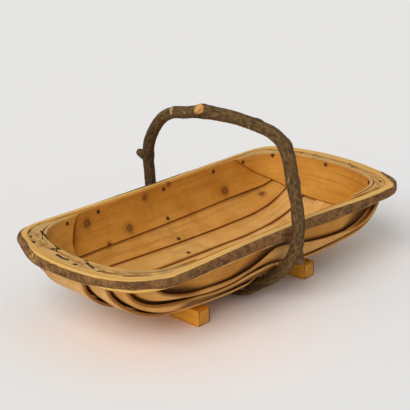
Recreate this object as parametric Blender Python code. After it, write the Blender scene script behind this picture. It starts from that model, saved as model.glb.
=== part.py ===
"""Garden trug: thin willow boards, lapped like a clinker boat, nailed inside a bent rim, with a
natural branch for a handle that passes right under the hull.

Metres, +Z up. +X runs along the trug, and the origin lies on the ground under the middle of its
bounding box. The near side is the one at -Y.
"""
import math

import bmesh
import bpy
import numpy as np

# Clearance between pieces that touch
FIT = 0.0003

# Rim: a cleft pole bent round, bark outside, its two ends meeting at the near leg of the handle
RIM_HALF_LENGTH = 0.275
RIM_HALF_WIDTH = 0.1243
RIM_TOP = 0.1136
RIM_HEIGHT = 0.016
RIM_TAIL_HEIGHT = 0.0125
RIM_TAIL_LENGTH = 0.11
RIM_DEPTH_END = 0.0135
RIM_DEPTH_NEAR = 0.0131
RIM_DEPTH_FAR = 0.0083
RIM_BULGE = 0.0012
RIM_JOINT_X = -0.003
RIM_JOINT_GAP = 0.0006
END_BOW = 0.112
SIDE_FLARE = 0.019
SQUARENESS = 8.0
# The rim's own corners, which leave the hull's: (end, side): (squareness, outward flare)
RIM_CORNERS = {(-1, 1): (11.0, 0.055), (1, 1): (12.0, 0.019), (1, -1): (13.5, 0.019), (-1, -1): (8.5, 0.019)}
RIM_CORNER_DEPTH = 0.0155
RIM_STATIONS = 100
RIM_FACETS = 7

# Hull: the inner face of the boards
HULL_BOTTOM = 0.0285
HULL_POWER = 3.8
HULL_UPRIGHT_ABOVE_RIM = 0.001
BOARD_TOP_BELOW_RIM = 0.0006
BOARD = 0.0036
HULL_STATIONS = 34
SIDE_BOARD_ROWS = 4

# Board edges across the hull, as shares of its half width: (amidships, at the ends).
# Each board's low edge lies inside the top edge of the board below it.
KEEL_EDGE_SHARES = ((-0.096, -0.22), (0.524, 0.54))
FAR_LOW_SHARES = ((0.415, 0.366), (0.675, 0.58), (0.889, 0.795))
FAR_TOP_SHARES = ((0.747, 0.727), (0.917, 0.91))
NEAR_LOW_SHARES = ((0.032, 0.063), (-0.424, -0.434), (-0.66, -0.766), (-0.87, -0.935))
NEAR_TOP_SHARES = ((-0.524, -0.63), (-0.739, -0.88), (-0.913, -0.985))

# The outer edges are shaved thin, and stand off their neighbours where the boards turn up to the
# ends. Lifts are (left end, right end), and the span gives the shares of the way out at which an
# edge starts to lift, is lifted, starts to close and has closed again.
BOARD_EDGE = 0.0016
KEEL_LIFTS = ((0.0060, 0.0055), (0.0050, 0.0045))
FAR_LIFTS = ((0.0050, 0.0045), (0.0060, 0.0055))
NEAR_LIFTS = ((0.0065, 0.0060), (0.0070, 0.0075), (0.0055, 0.0085))
LIFT_SPAN = (0.5, 0.87, 0.955, 0.99)
LIFT_POWER = 1.5

# End linings: one wide board bent round each end, inside the hull
LINING = 0.0045
LINING_DROP = 0.053
LEFT_LINING_TIP_X = -0.147
LEFT_LINING_TIP_DROP = 0.056
LEFT_LINING_SLANT = 0.022
LEFT_LINING_STANDOFF = 0.004
RIGHT_LINING_TIP_X = 0.159
RIGHT_LINING_TIP_DROP = 0.003
RIGHT_LINING_SLANT = 0.002
RIGHT_LINING_STANDOFF = 0.0015
LINING_RISE_POWER = 2.4
LINING_STATIONS = 38
LINING_ROWS = 6

# Handle: a natural branch, bent to a hoop
HOOP_X = 0.010
HOOP_RADIUS = 0.0082
HOOP_LUMP = 0.04
HOOP_SIDES = 10
HANDLE_HEIGHT = 0.1244
HOOP_STEP = 0.0125

# The two tails of the branch pass each other under the hull. Each turns aside from the hoop's plane
# between two shares of the hull's half width, and the far one splits away from it to a thin end.
NEAR_TAIL_X = 0.006
NEAR_TAIL_TURN = (-0.95, -0.3)
NEAR_TAIL_END = 0.0
FAR_TAIL_X = -0.0135
FAR_TAIL_TURN = (0.75, 0.05)
FAR_TAIL_END = -0.74
FAR_TAIL_SPLIT = (-0.1, -0.5)
FAR_TAIL_DROP = 0.0055
FAR_TAIL_GIRTH = 0.55
FAR_TAIL_TIP_GIRTH = 0.25

# The branch above the rim: (share of its reach, share of its height, share of its radius)
ARCH = (
    (-1.0, -0.05, 1.0), (-1.0, 0.045, 1.05), (-0.975, 0.26, 1.04), (-0.925, 0.46, 1.1),
    (-0.875, 0.69, 1.08), (-0.805, 0.85, 1.08), (-0.66, 0.95, 1.05), (-0.44, 0.985, 1.03),
    (-0.18, 1.0, 1.06), (0.09, 0.99, 1.14), (0.23, 0.975, 1.22), (0.36, 0.945, 1.08),
    (0.5, 0.905, 1.04), (0.66, 0.865, 1.0), (0.8, 0.785, 1.0), (0.92, 0.64, 1.0),
    (1.005, 0.46, 1.0), (1.03, 0.27, 0.98), (1.015, 0.1, 0.97), (1.0, -0.05, 0.99),
)
# Where each leg turns in below the rim: (share of reach, drop below the rim's top)
LEG_TURN = ((0.985, 0.023), (0.94, 0.038), (0.875, 0.053))
# Sawn stubs of side twigs: (direction, length outside the bark, base and tip as shares of the radius)
NEAR_LEG_STUB = ((0.36, 0.06, -0.93), 0.0218, 0.88, 0.73)
FAR_LEG_STUB = ((-0.2, 0.97, 0.1), 0.0103, 0.63, 0.54)
FAR_LEG_STUB_POINT = 17
TOP_KNOT = ((-0.55, -0.35, 0.76), 0.0046, 0.88, 0.78)
TOP_KNOT_POINT = 10

# Feet
FOOT_X = 0.1037
FOOT_WIDTH = 0.0217
FOOT_HEIGHT = 0.022
FOOT_HALF_LENGTH = 0.0776
FOOT_STEPS = 14
FOOT_SEARCH_SHARE = 0.97

# Nails. A nail bites a share of the rim's depth, or of the branch's radius.
NAIL_HEAD_RADIUS = 0.0026
NAIL_HEAD_HEIGHT = 0.0009
NAIL_RADIUS = 0.0009
NAIL_BITE_SHARE = 0.6
NAIL_SIDES = 7
SIDE_NAIL_X = (-0.168, -0.109, 0.013, 0.114, 0.172)
LEFT_END_NAIL_Y = (-0.078, 0.004, 0.078)
RIGHT_END_NAIL_Y = (-0.085, 0.013, 0.097)
FAR_HOOP_NAILS = (0.902, 0.707, 0.455)
NEAR_HOOP_NAILS = (-0.892, -0.7, -0.475, -0.04)

HULL_HALF_WIDTH = RIM_HALF_WIDTH - (RIM_DEPTH_NEAR + RIM_DEPTH_FAR) / 2 - BOARD - FIT
HULL_HALF_LENGTH = RIM_HALF_LENGTH - RIM_DEPTH_END - 2 * BOARD - 3 * FIT
HULL_SHIFT = (RIM_DEPTH_NEAR - RIM_DEPTH_FAR) / 2
UPRIGHT_Z = RIM_TOP + HULL_UPRIGHT_ABOVE_RIM
BOARD_TOP = RIM_TOP - BOARD_TOP_BELOW_RIM
HULL_RISE = UPRIGHT_Z - HULL_BOTTOM
TOP_SHARE = 1 - ((UPRIGHT_Z - BOARD_TOP) / HULL_RISE) ** 2
LAP = BOARD + FIT
HOOP_REACH = RIM_HALF_WIDTH + RIM_BULGE + FIT + HOOP_RADIUS * (1 + HOOP_LUMP)

PALE_WILLOW = (0.60, 0.36, 0.15, 1)
GOLDEN_WOOD = (0.68, 0.38, 0.11, 1)
RIM_BARK = (0.13, 0.075, 0.045, 1)
BRANCH_BARK = (0.11, 0.085, 0.05, 1)
RUSTY_IRON = (0.06, 0.03, 0.02, 1)


def clear_scene():
    for old in list(bpy.data.objects):
        bpy.data.objects.remove(old, do_unlink=True)


def material(name, colour, roughness, metallic=0.0):
    made = bpy.data.materials.new(name)
    made.use_nodes = True
    shader = made.node_tree.nodes["Principled BSDF"]
    shader.inputs["Base Color"].default_value = colour
    shader.inputs["Roughness"].default_value = roughness
    shader.inputs["Metallic"].default_value = metallic
    return made


def add_object(name, mesh_maker, look, smooth_angle=35):
    """Make an object from a function that fills a bmesh."""
    shape = bmesh.new()
    mesh_maker(shape)
    bmesh.ops.recalc_face_normals(shape, faces=shape.faces)
    mesh = bpy.data.meshes.new(name)
    shape.to_mesh(mesh)
    shape.free()
    mesh.shade_smooth()
    mesh.set_sharp_from_angle(angle=math.radians(smooth_angle))
    made = bpy.data.objects.new(name, mesh)
    if look:
        mesh.materials.append(look)
    bpy.context.collection.objects.link(made)
    return made


def add_boolean(target, tool, operation):
    cut = target.modifiers.new(tool.name, "BOOLEAN")
    cut.operation = operation
    cut.solver = "EXACT"
    cut.object = tool


def centre_on_origin():
    """Hang every piece on one empty, placed so that the bounding box is centred over the origin."""
    pieces = list(bpy.data.objects)
    corners = [vertex.co for piece in pieces for vertex in piece.data.vertices]
    centre = [(min(c[k] for c in corners) + max(c[k] for c in corners)) / 2 for k in (0, 1)]
    trug = bpy.data.objects.new("trug", None)
    trug.location = (-centre[0], -centre[1], 0)
    bpy.context.collection.objects.link(trug)
    for piece in pieces:
        piece.parent = trug


def as_cutter(tool):
    tool.hide_render = True
    tool.display_type = "WIRE"


def lerp(a, b, share):
    return a + (b - a) * share


def smooth(value):
    value = min(max(value, 0.0), 1.0)
    return value * value * (3 - 2 * value)


def solve(function, low, high):
    """The value between low and high where a rising function crosses zero."""
    for _ in range(50):
        middle = (low + high) / 2
        if function(middle) > 0:
            high = middle
        else:
            low = middle
    return (low + high) / 2


def spread(points, count, turn_length):
    """Places along a fine polyline, evenly by length and closer where it turns."""
    steps = np.diff(points, axis=0)
    lengths = np.linalg.norm(steps, axis=1)
    units = steps / lengths[:, None]
    turns = np.arccos(np.clip(np.sum(units[1:] * units[:-1], axis=1), -1, 1))
    weights = lengths.copy()
    weights[1:] += turns * turn_length
    run = np.concatenate([[0.0], np.cumsum(weights)])
    return np.interp(np.linspace(0, run[-1], count + 1), run, np.arange(len(points)))


# Plan and hull surface. s runs from end to end and w from side to side, both from -1 to 1.

def plan_shares(s, w):
    a = s * (1 - abs(w) ** SQUARENESS / 2) ** (1 / SQUARENESS)
    b = w * (1 - abs(s) ** SQUARENESS / 2) ** (1 / SQUARENESS)
    return a, b


def plan_point(a, b, half_length, half_width, shift=0.0):
    x = half_length * a * (1 - END_BOW * b * b)
    y = shift + half_width * b * (1 + SIDE_FLARE * a * a)
    return x, y


def surface_reach(a, b):
    return (abs(a) ** SQUARENESS + abs(b) ** SQUARENESS) ** (1 / SQUARENESS)


def reach_at(z):
    """The share of the hull's reach at which its inner face is at height z."""
    wall = ((UPRIGHT_Z - z) / HULL_RISE) ** 2
    return ((1 - wall) / TOP_SHARE) ** (1 / HULL_POWER)


def surface_point(a, b):
    x, y = plan_point(a, b, HULL_HALF_LENGTH, HULL_HALF_WIDTH, HULL_SHIFT)
    wall = 1 - TOP_SHARE * surface_reach(a, b) ** HULL_POWER
    return np.array((x, y, UPRIGHT_Z - HULL_RISE * math.sqrt(wall)))


def surface_normal(a, b):
    """The way out of the hull, square to its inner face."""
    reach = max(surface_reach(a, b), 1e-6)
    wall = math.sqrt(1 - TOP_SHARE * reach ** HULL_POWER)
    steepness = HULL_RISE * TOP_SHARE * HULL_POWER * reach ** (HULL_POWER - 1) / (2 * wall)
    rise_a, rise_b = (
        steepness * math.copysign((abs(share) / reach) ** (SQUARENESS - 1), share) for share in (a, b))
    bow = END_BOW * b
    flare = SIDE_FLARE * a
    along = (HULL_HALF_LENGTH * (1 - bow * b), 2 * HULL_HALF_WIDTH * flare * b, rise_a)
    across = (-2 * HULL_HALF_LENGTH * a * bow, HULL_HALF_WIDTH * (1 + flare * a), rise_b)
    normal = np.cross(across, along)
    return normal / np.linalg.norm(normal)


def hull_point(s, w):
    return surface_point(*plan_shares(s, w))


def hull_normal(s, w):
    return surface_normal(*plan_shares(s, w))


def shell_point(s, w, offset):
    """A point at a distance outside the boards' inner face, cut off level at the top edge."""
    point = hull_point(s, w) + hull_normal(s, w) * offset
    if max(abs(s), abs(w)) > 1 - 1e-9:
        point[2] = BOARD_TOP
    return point


def side_station(x, w):
    """The station s at which the hull line w passes x."""
    return solve(lambda s: hull_point(s, w)[0] - x, -1, 1)


def end_share(s, y):
    """The share w at which the hull station s passes y."""
    return solve(lambda w: hull_point(s, w)[1] - y, -1, 1)


def hull_stations():
    fine = [hull_point(s, 0) for s in np.linspace(-1, 1, 801)]
    places = spread(np.array(fine), HULL_STATIONS, 0.02)
    return np.interp(places, np.arange(801), np.linspace(-1, 1, 801))


def edge(pair, s):
    middle, end = pair
    return lerp(middle, end, s * s)


def add_grid_solid(shape, inner, outer):
    """Close two equal grids of points into one solid."""
    inner_verts = [[shape.verts.new(p) for p in row] for row in inner]
    outer_verts = [[shape.verts.new(p) for p in row] for row in outer]
    rows = len(inner)
    columns = len(inner[0])
    for i in range(rows - 1):
        for j in range(columns - 1):
            for grid in (inner_verts, outer_verts):
                corners = (grid[i][j], grid[i + 1][j], grid[i + 1][j + 1], grid[i][j + 1])
                shape.faces.new(corners)
    rim = [(i, 0) for i in range(rows)] + [(rows - 1, j) for j in range(1, columns)]
    rim += [(i, columns - 1) for i in range(rows - 2, -1, -1)]
    rim += [(0, j) for j in range(columns - 2, 0, -1)]
    for (i, j), (k, m) in zip(rim, rim[1:] + rim[:1]):
        corners = (inner_verts[i][j], inner_verts[k][m], outer_verts[k][m], outer_verts[i][j])
        shape.faces.new(corners)


def lift_at(s, lifts):
    """How far a free edge stands off at a station."""
    rises, lifted, closes, closed = LIFT_SPAN
    reach = abs(s)
    swell = smooth((reach - rises) / (lifted - rises)) * (1 - smooth((reach - closes) / (closed - closes)))
    return lifts[0 if s < 0 else 1] * swell


def add_board(shape, row_rule):
    """Bend one board: row_rule(s) gives its rows as (w, distance outside the inner face, thickness)."""
    inner = []
    outer = []
    for s in hull_stations():
        rows = row_rule(s)
        inner.append([shell_point(s, w, offset) for w, offset, _ in rows])
        outer.append([shell_point(s, w, offset + thick) for w, offset, thick in rows])
    add_grid_solid(shape, inner, outer)


def keel_rows(s):
    near = edge(KEEL_EDGE_SHARES[0], s)
    far = edge(KEEL_EDGE_SHARES[1], s)
    near_lap = edge(NEAR_LOW_SHARES[0], s)
    far_lap = edge(FAR_LOW_SHARES[0], s)
    near_lift, far_lift = (lift_at(s, lifts) for lifts in KEEL_LIFTS)
    rows = []
    for w in (near, near_lap, lerp(near_lap, far_lap, 0.5), far_lap, far):
        swing = max((far_lap - w) / (far_lap - near), 0) ** LIFT_POWER * near_lift
        swing += max((w - near_lap) / (far - near_lap), 0) ** LIFT_POWER * far_lift
        rows.append((w, LAP + swing, BOARD_EDGE if w in (near, far) else BOARD))
    return rows


def lapped_rows(low, top_below, low_above, top, lifts):
    """Rows of a board that lies inside the one below it and outside the one above it."""
    def rows(s):
        start = edge(top_below, s)
        lap = edge(low_above, s)
        end = edge(top, s)
        places = [(edge(low, s), 0.0, BOARD), (start, 0.0, BOARD)]
        for w, step, thick in ((lerp(start, lap, 0.5), 0.5, BOARD), (lap, 1.0, BOARD), (end, 1.0, BOARD_EDGE)):
            swing = ((w - start) / (end - start)) ** LIFT_POWER
            places.append((w, LAP * step + lift_at(s, lifts) * swing, thick))
        return places
    return rows


def side_rows(low, top_below, side):
    """Rows of a side board, from the board below it up to the rim."""
    def rows(s):
        start = edge(top_below, s)
        result = [(edge(low, s), 0.0, BOARD), (start, 0.0, BOARD)]
        for i in range(1, SIDE_BOARD_ROWS + 1):
            rest = (1 - i / SIDE_BOARD_ROWS) ** 1.7
            result.append((lerp(side, start, rest), 0.0, BOARD))
        return result
    return rows


def make_boards(look, holes):
    keel_near, keel_far = KEEL_EDGE_SHARES
    far_low = FAR_LOW_SHARES
    far_top = FAR_TOP_SHARES
    near_low = NEAR_LOW_SHARES
    near_top = NEAR_TOP_SHARES
    rules = {
        "keel_board": keel_rows,
        "far_board_1": lapped_rows(far_low[0], keel_far, far_low[1], far_top[0], FAR_LIFTS[0]),
        "far_board_2": lapped_rows(far_low[1], far_top[0], far_low[2], far_top[1], FAR_LIFTS[1]),
        "far_side_board": side_rows(far_low[2], far_top[1], 1),
        "near_board_1": lapped_rows(near_low[0], keel_near, near_low[1], near_top[0], NEAR_LIFTS[0]),
        "near_board_2": lapped_rows(near_low[1], near_top[0], near_low[2], near_top[1], NEAR_LIFTS[1]),
        "near_board_3": lapped_rows(near_low[2], near_top[1], near_low[3], near_top[2], NEAR_LIFTS[2]),
        "near_side_board": side_rows(near_low[3], near_top[2], -1),
    }
    for name, rule in rules.items():
        board = add_object(name, lambda shape: add_board(shape, rule), look)
        add_boolean(board, holes, "DIFFERENCE")


# Rim

def rim_clearance(s, w):
    """Room between the boards' inner face and the rim: one board along the sides, two at the ends."""
    two_boards = smooth((abs(s) - 0.84) / 0.1) if abs(w) > abs(s) else 1.0
    return lerp(BOARD + FIT, 2 * BOARD + 3 * FIT, two_boards)


def rim_outline(s, w):
    """A point of the rim's outer edge, with the squareness of the corner that it is nearest to."""
    square, flare = RIM_CORNERS[(-1 if s < 0 else 1, -1 if w < 0 else 1)]
    a = s * (1 - abs(w) ** square / 2) ** (1 / square)
    b = w * (1 - abs(s) ** square / 2) ** (1 / square)
    return RIM_HALF_LENGTH * a * (1 - END_BOW * b * b), RIM_HALF_WIDTH * b * (1 + flare * a * a)


def rim_contour():
    """(s, w) right round the hull's edge, from the joint at the near side and back to it."""
    gap = RIM_JOINT_GAP / 2
    start = side_station(RIM_JOINT_X + gap, -1)
    finish = side_station(RIM_JOINT_X - gap, -1)
    corners = ((start, -1), (1, -1), (1, 1), (-1, 1), (-1, -1), (finish, -1))
    path = []
    for first, second in zip(corners, corners[1:]):
        for share in np.linspace(0, 1, 200, endpoint=False):
            path.append((lerp(first[0], second[0], share), lerp(first[1], second[1], share)))
    path.append(corners[-1])
    return np.array(path)


def rim_lines():
    """Outer and inner plan points of the rim at each of its stations."""
    path = rim_contour()
    outer = np.array([rim_outline(s, w) for s, w in path])
    inner = []
    for (s, w), edge_point in zip(path, outer):
        normal = hull_normal(s, w)[:2]
        base = hull_point(s, w)[:2]
        seat = base + normal / np.linalg.norm(normal) * rim_clearance(s, w)
        depth = np.linalg.norm(edge_point - seat)
        inner.append(lerp(edge_point, seat, min(RIM_CORNER_DEPTH / depth, 1)))
    places = spread(outer, RIM_STATIONS, 0.03)
    index = np.arange(len(path))
    lines = []
    for line in (outer, np.array(inner)):
        lines.append(np.stack([np.interp(places, index, line[:, k]) for k in (0, 1)], axis=1))
    return lines


def add_rim(shape):
    outer, inner = rim_lines()
    runs = np.concatenate([[0.0], np.cumsum(np.linalg.norm(np.diff(outer, axis=0), axis=1))])
    rings = []
    for o, i, run in zip(outer, inner, runs):
        height = lerp(RIM_TAIL_HEIGHT, RIM_HEIGHT, smooth(run / RIM_TAIL_LENGTH))
        depth = np.linalg.norm(o - i)
        outward = (o - i) / depth
        ring = []
        for k in range(RIM_FACETS + 1):
            angle = math.pi / 2 - math.pi * k / RIM_FACETS
            across = (depth + RIM_BULGE) * abs(math.cos(angle)) ** 0.62
            down = height / 2 * (1 - math.copysign(abs(math.sin(angle)) ** 0.62, angle))
            point = i + outward * across
            ring.append(shape.verts.new((point[0], point[1], RIM_TOP - down)))
        rings.append(ring)
    sides = RIM_FACETS + 1
    for first, second in zip(rings, rings[1:]):
        for k in range(sides):
            m = (k + 1) % sides
            shape.faces.new((first[k], first[m], second[m], second[k]))
    shape.faces.new(rings[0])
    shape.faces.new(rings[-1])


# End linings

def lining_path(tip_x):
    """Plan shares (a, b) of a lining's top edge, from one arm's tip round the end to the other's."""
    tip = side_station(abs(tip_x), 1)
    corners = ((tip, -1), (1, -1), (1, 1), (tip, 1))
    path = []
    for first, second in zip(corners, corners[1:]):
        for share in np.linspace(0, 1, 120, endpoint=False):
            path.append(plan_shares(lerp(first[0], second[0], share), lerp(first[1], second[1], share)))
    path.append(plan_shares(*corners[-1]))
    return np.array(path)


def add_lining(shape, end, tip_x, tip_drop, slant, standoff):
    """Bend a board round one end: level top edge, lower edge rising towards both tips."""
    path = lining_path(tip_x)
    points = np.array([surface_point(end * a, b)[:2] for a, b in path])
    runs = np.concatenate([[0.0], np.cumsum(np.linalg.norm(np.diff(points, axis=0), axis=1))])
    index = np.arange(len(path))
    inner = []
    outer = []
    corner = abs(plan_shares(1, 1)[0])
    for place in spread(points, LINING_STATIONS, 0.03):
        a, b, run = (np.interp(place, index, line) for line in (path[:, 0], path[:, 1], runs))
        from_middle = abs(2 * run / runs[-1] - 1)
        drop = lerp(LINING_DROP, tip_drop, from_middle ** LINING_RISE_POWER)
        along_arm = smooth((corner - a) / (corner - path[0, 0]))
        shear = slant / HULL_HALF_LENGTH * along_arm
        columns = []
        for row in range(LINING_ROWS + 1):
            share = row / LINING_ROWS
            sheared = a + shear * share
            scale = reach_at(BOARD_TOP - drop * share) / surface_reach(sheared, b)
            columns.append((end * sheared * scale, b * scale))
        inner.append([lining_point(*column, -standoff - LINING) for column in columns])
        outer.append([lining_point(*column, -standoff) for column in columns])
        inner[-1][0][2] = BOARD_TOP
        outer[-1][0][2] = BOARD_TOP
    add_grid_solid(shape, inner, outer)


def lining_point(a, b, offset):
    return surface_point(a, b) + surface_normal(a, b) * offset


# Handle

def hull_side_point(w, x, radius):
    """The branch's centre where it hugs the outside of the hull at share w."""
    s = side_station(x, w)
    away = 2 * BOARD + 2 * FIT + radius * (1 + HOOP_LUMP)
    point = hull_point(s, w) + hull_normal(s, w) * away
    return (x, point[1], point[2])


def tail_x(w, end_x, turn):
    """The branch's x under the hull, leaving the hoop's plane between two shares."""
    start, full = turn
    return lerp(HOOP_X, end_x, smooth((w - start) / (full - start)))


def leg_place(side, share, drop):
    return HOOP_X, side * HOOP_REACH * share, RIM_TOP - drop


def arch_place(share, height):
    return HOOP_X, HOOP_REACH * share, RIM_TOP + HANDLE_HEIGHT * height


def hoop_points():
    """Centre points of the whole branch with its girth, from the near tail round to the far one."""
    points = []
    for w in np.linspace(NEAR_TAIL_END, -0.8, 6):
        x = tail_x(w, NEAR_TAIL_X, NEAR_TAIL_TURN)
        points.append((*hull_side_point(w, x, HOOP_RADIUS), 1.0))
    for share, drop in reversed(LEG_TURN):
        points.append((*leg_place(-1, share, drop), 1.0))
    for share, height, girth in ARCH:
        points.append((*arch_place(share, height), girth))
    for share, drop in LEG_TURN:
        points.append((*leg_place(1, share, drop), 0.99))
    splits, split = FAR_TAIL_SPLIT
    for w in np.linspace(0.8, FAR_TAIL_END, 12):
        x = tail_x(w, FAR_TAIL_X, FAR_TAIL_TURN)
        apart = smooth((w - splits) / (split - splits))
        girth = lerp(lerp(0.98, FAR_TAIL_GIRTH, apart), FAR_TAIL_TIP_GIRTH,
                     smooth((w - split) / (FAR_TAIL_END - split)))
        points.append((*hull_side_point(w, x, HOOP_RADIUS + FAR_TAIL_DROP * apart), girth))
    return np.array(points)


def catmull_rom(points, steps):
    """A smooth curve through the points, with the given number of steps between two of them."""
    ends = np.vstack([2 * points[0] - points[1], points, 2 * points[-1] - points[-2]])
    curve = []
    for p0, p1, p2, p3 in zip(ends, ends[1:], ends[2:], ends[3:]):
        for t in np.linspace(0, 1, steps, endpoint=False):
            cubic = 2 * p1 + (p2 - p0) * t + (2 * p0 - 5 * p1 + 4 * p2 - p3) * t ** 2
            cubic = cubic + (3 * p1 - p0 - 3 * p2 + p3) * t ** 3
            curve.append(cubic / 2)
    curve.append(points[-1])
    return np.array(curve)


def add_branch(shape):
    """Loft a lumpy round section along the branch."""
    fine = catmull_rom(hoop_points(), 12)
    lengths = np.linalg.norm(np.diff(fine[:, :3], axis=0), axis=1)
    count = round(lengths.sum() / HOOP_STEP)
    places = spread(fine[:, :3], count, 0.01)
    index = np.arange(len(fine))
    centres = np.stack([np.interp(places, index, fine[:, k]) for k in range(4)], axis=1)
    rings = []
    for i, (x, y, z, girth) in enumerate(centres):
        before = centres[max(i - 1, 0), :3]
        after = centres[min(i + 1, count), :3]
        tangent = (after - before) / np.linalg.norm(after - before)
        side = np.array((1.0, 0, 0)) - tangent * tangent[0]
        side /= np.linalg.norm(side)
        up = np.cross(tangent, side)
        ring = []
        for k in range(HOOP_SIDES):
            angle = 2 * math.pi * k / HOOP_SIDES
            lump = 1 + HOOP_LUMP * math.sin(2 * angle + i * 0.55) * math.cos(i * 0.31)
            radius = HOOP_RADIUS * girth * lump
            point = np.array((x, y, z)) + radius * (side * math.cos(angle) + up * math.sin(angle))
            ring.append(shape.verts.new(point))
        rings.append(ring)
    for first, second in zip(rings, rings[1:]):
        for k in range(HOOP_SIDES):
            m = (k + 1) % HOOP_SIDES
            shape.faces.new((first[k], first[m], second[m], second[k]))
    shape.faces.new(rings[0])
    shape.faces.new(rings[-1])


def turned(shape, start, direction, profile, sides, phase=0.0):
    """Turn a profile of (distance along, radius) about an axis, closed with flat ends."""
    axis = np.array(direction) / np.linalg.norm(direction)
    other = np.array((1.0, 0, 0)) if abs(axis[0]) < 0.8 else np.array((0, 1.0, 0))
    side = np.cross(axis, other)
    side /= np.linalg.norm(side)
    up = np.cross(axis, side)
    rings = []
    for along, radius in profile:
        ring = []
        for k in range(sides):
            angle = 2 * math.pi * k / sides + phase
            spoke = side * math.cos(angle) + up * math.sin(angle)
            ring.append(shape.verts.new(np.array(start) + axis * along + spoke * radius))
        rings.append(ring)
    for first, second in zip(rings, rings[1:]):
        for k in range(sides):
            m = (k + 1) % sides
            shape.faces.new((first[k], first[m], second[m], second[k]))
    shape.faces.new(rings[0])
    shape.faces.new(rings[-1])


def make_handle(look, holes):
    handle = add_object("handle_hoop", add_branch, look, smooth_angle=60)
    stubs = {
        "near_leg_stub": (leg_place(-1, *LEG_TURN[0]), *NEAR_LEG_STUB),
        "far_leg_stub": (arch_place(*ARCH[FAR_LEG_STUB_POINT][:2]), *FAR_LEG_STUB),
        "top_knot": (arch_place(*ARCH[TOP_KNOT_POINT][:2]), *TOP_KNOT),
    }
    for name, (start, direction, outside, base_share, tip_share) in stubs.items():
        length = HOOP_RADIUS + outside
        base = HOOP_RADIUS * base_share
        tip = HOOP_RADIUS * tip_share
        profile = ((0, base), (length * 0.6, lerp(base, tip, 0.4)), (length, tip))
        stub = add_object(name, lambda shape: turned(shape, start, direction, profile, 10, 0.2), None)
        as_cutter(stub)
        add_boolean(handle, stub, "UNION")
    add_boolean(handle, holes, "DIFFERENCE")


# Feet

def add_foot(shape, x):
    """A batten with its top hollowed to the hull that rests on it."""
    edges = (x - FOOT_WIDTH / 2, x + FOOT_WIDTH / 2)
    innermost = min(abs(edges[0]), abs(edges[1]))
    sections = []
    for y in np.linspace(-FOOT_HALF_LENGTH, FOOT_HALF_LENGTH, FOOT_STEPS + 1):
        under = hull_underside(math.copysign(innermost, x), y) - FIT
        top = min(FOOT_HEIGHT, under)
        corners = ((edges[0], 0), (edges[1], 0), (edges[1], top), (edges[0], top))
        sections.append([shape.verts.new((cx, y, cz)) for cx, cz in corners])
    for first, second in zip(sections, sections[1:]):
        for k in range(4):
            m = (k + 1) % 4
            shape.faces.new((first[k], first[m], second[m], second[k]))
    shape.faces.new(sections[0])
    shape.faces.new(sections[-1])


def hull_underside(x, y):
    """Height of the outermost boards' outer face over a point on the ground."""
    reach = FOOT_SEARCH_SHARE
    w = solve(lambda share: hull_point(side_station(x, share), share)[1] - y, -reach, reach)
    s = side_station(x, w)
    point = hull_point(s, w)
    normal = hull_normal(s, w)
    return point[2] + (2 * BOARD + FIT) / normal[2]


# Nails

def nail_places():
    """Name, head point, direction, and length below the head of every nail."""
    share = reach_at(RIM_TOP - RIM_HEIGHT / 2)
    nails = []
    for side, label, depth in ((-1, "near", RIM_DEPTH_NEAR), (1, "far", RIM_DEPTH_FAR)):
        for number, x in enumerate(SIDE_NAIL_X, 1):
            s = side_station(x, side * share)
            lined = x < LEFT_LINING_TIP_X or x > RIGHT_LINING_TIP_X
            standoff = LEFT_LINING_STANDOFF if x < 0 else RIGHT_LINING_STANDOFF
            under = standoff + LINING if lined else 0.0
            length = under + rim_clearance(s, side) + depth * NAIL_BITE_SHARE
            nails.append((f"{label}_rim_nail_{number}", s, side * share, under, length))
    ends = (
        (-1, "left", LEFT_LINING_STANDOFF, LEFT_END_NAIL_Y),
        (1, "right", RIGHT_LINING_STANDOFF, RIGHT_END_NAIL_Y),
    )
    for end, label, standoff, places in ends:
        for number, y in enumerate(places, 1):
            w = end_share(end * share, y)
            under = standoff + LINING
            length = under + rim_clearance(end, w) + RIM_DEPTH_END * NAIL_BITE_SHARE
            nails.append((f"{label}_end_nail_{number}", end * share, w, under, length))
    through = 2 * BOARD + 2 * FIT + HOOP_RADIUS * NAIL_BITE_SHARE
    for number, w in enumerate(FAR_HOOP_NAILS, 1):
        x = tail_x(w, FAR_TAIL_X, FAR_TAIL_TURN)
        nails.append((f"far_hoop_nail_{number}", side_station(x, w), w, 0.0, through))
    for number, w in enumerate(NEAR_HOOP_NAILS, 1):
        x = tail_x(w, NEAR_TAIL_X, NEAR_TAIL_TURN)
        under = -LAP if w > NEAR_LOW_SHARES[0][0] else 0.0
        nails.append((f"near_hoop_nail_{number}", side_station(x, w), w, under, through))
    return nails


def nail_axis(s, w, under):
    """Where the nail's head meets the wood, and the way the nail points."""
    normal = hull_normal(s, w)
    return hull_point(s, w) - normal * (under + FIT), normal


def add_nail(shape, s, w, under, length):
    start, direction = nail_axis(s, w, under)
    profile = (
        (-NAIL_HEAD_HEIGHT, NAIL_HEAD_RADIUS * 0.7),
        (0, NAIL_HEAD_RADIUS),
        (0, NAIL_RADIUS),
        (length, NAIL_RADIUS * 0.5),
    )
    turned(shape, start, direction, profile, NAIL_SIDES)


def add_nail_holes(shape):
    for _, s, w, under, length in nail_places():
        start, direction = nail_axis(s, w, under)
        radius = NAIL_RADIUS + FIT
        turned(shape, start, direction, ((-FIT, radius), (length + FIT, radius)), NAIL_SIDES)


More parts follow.
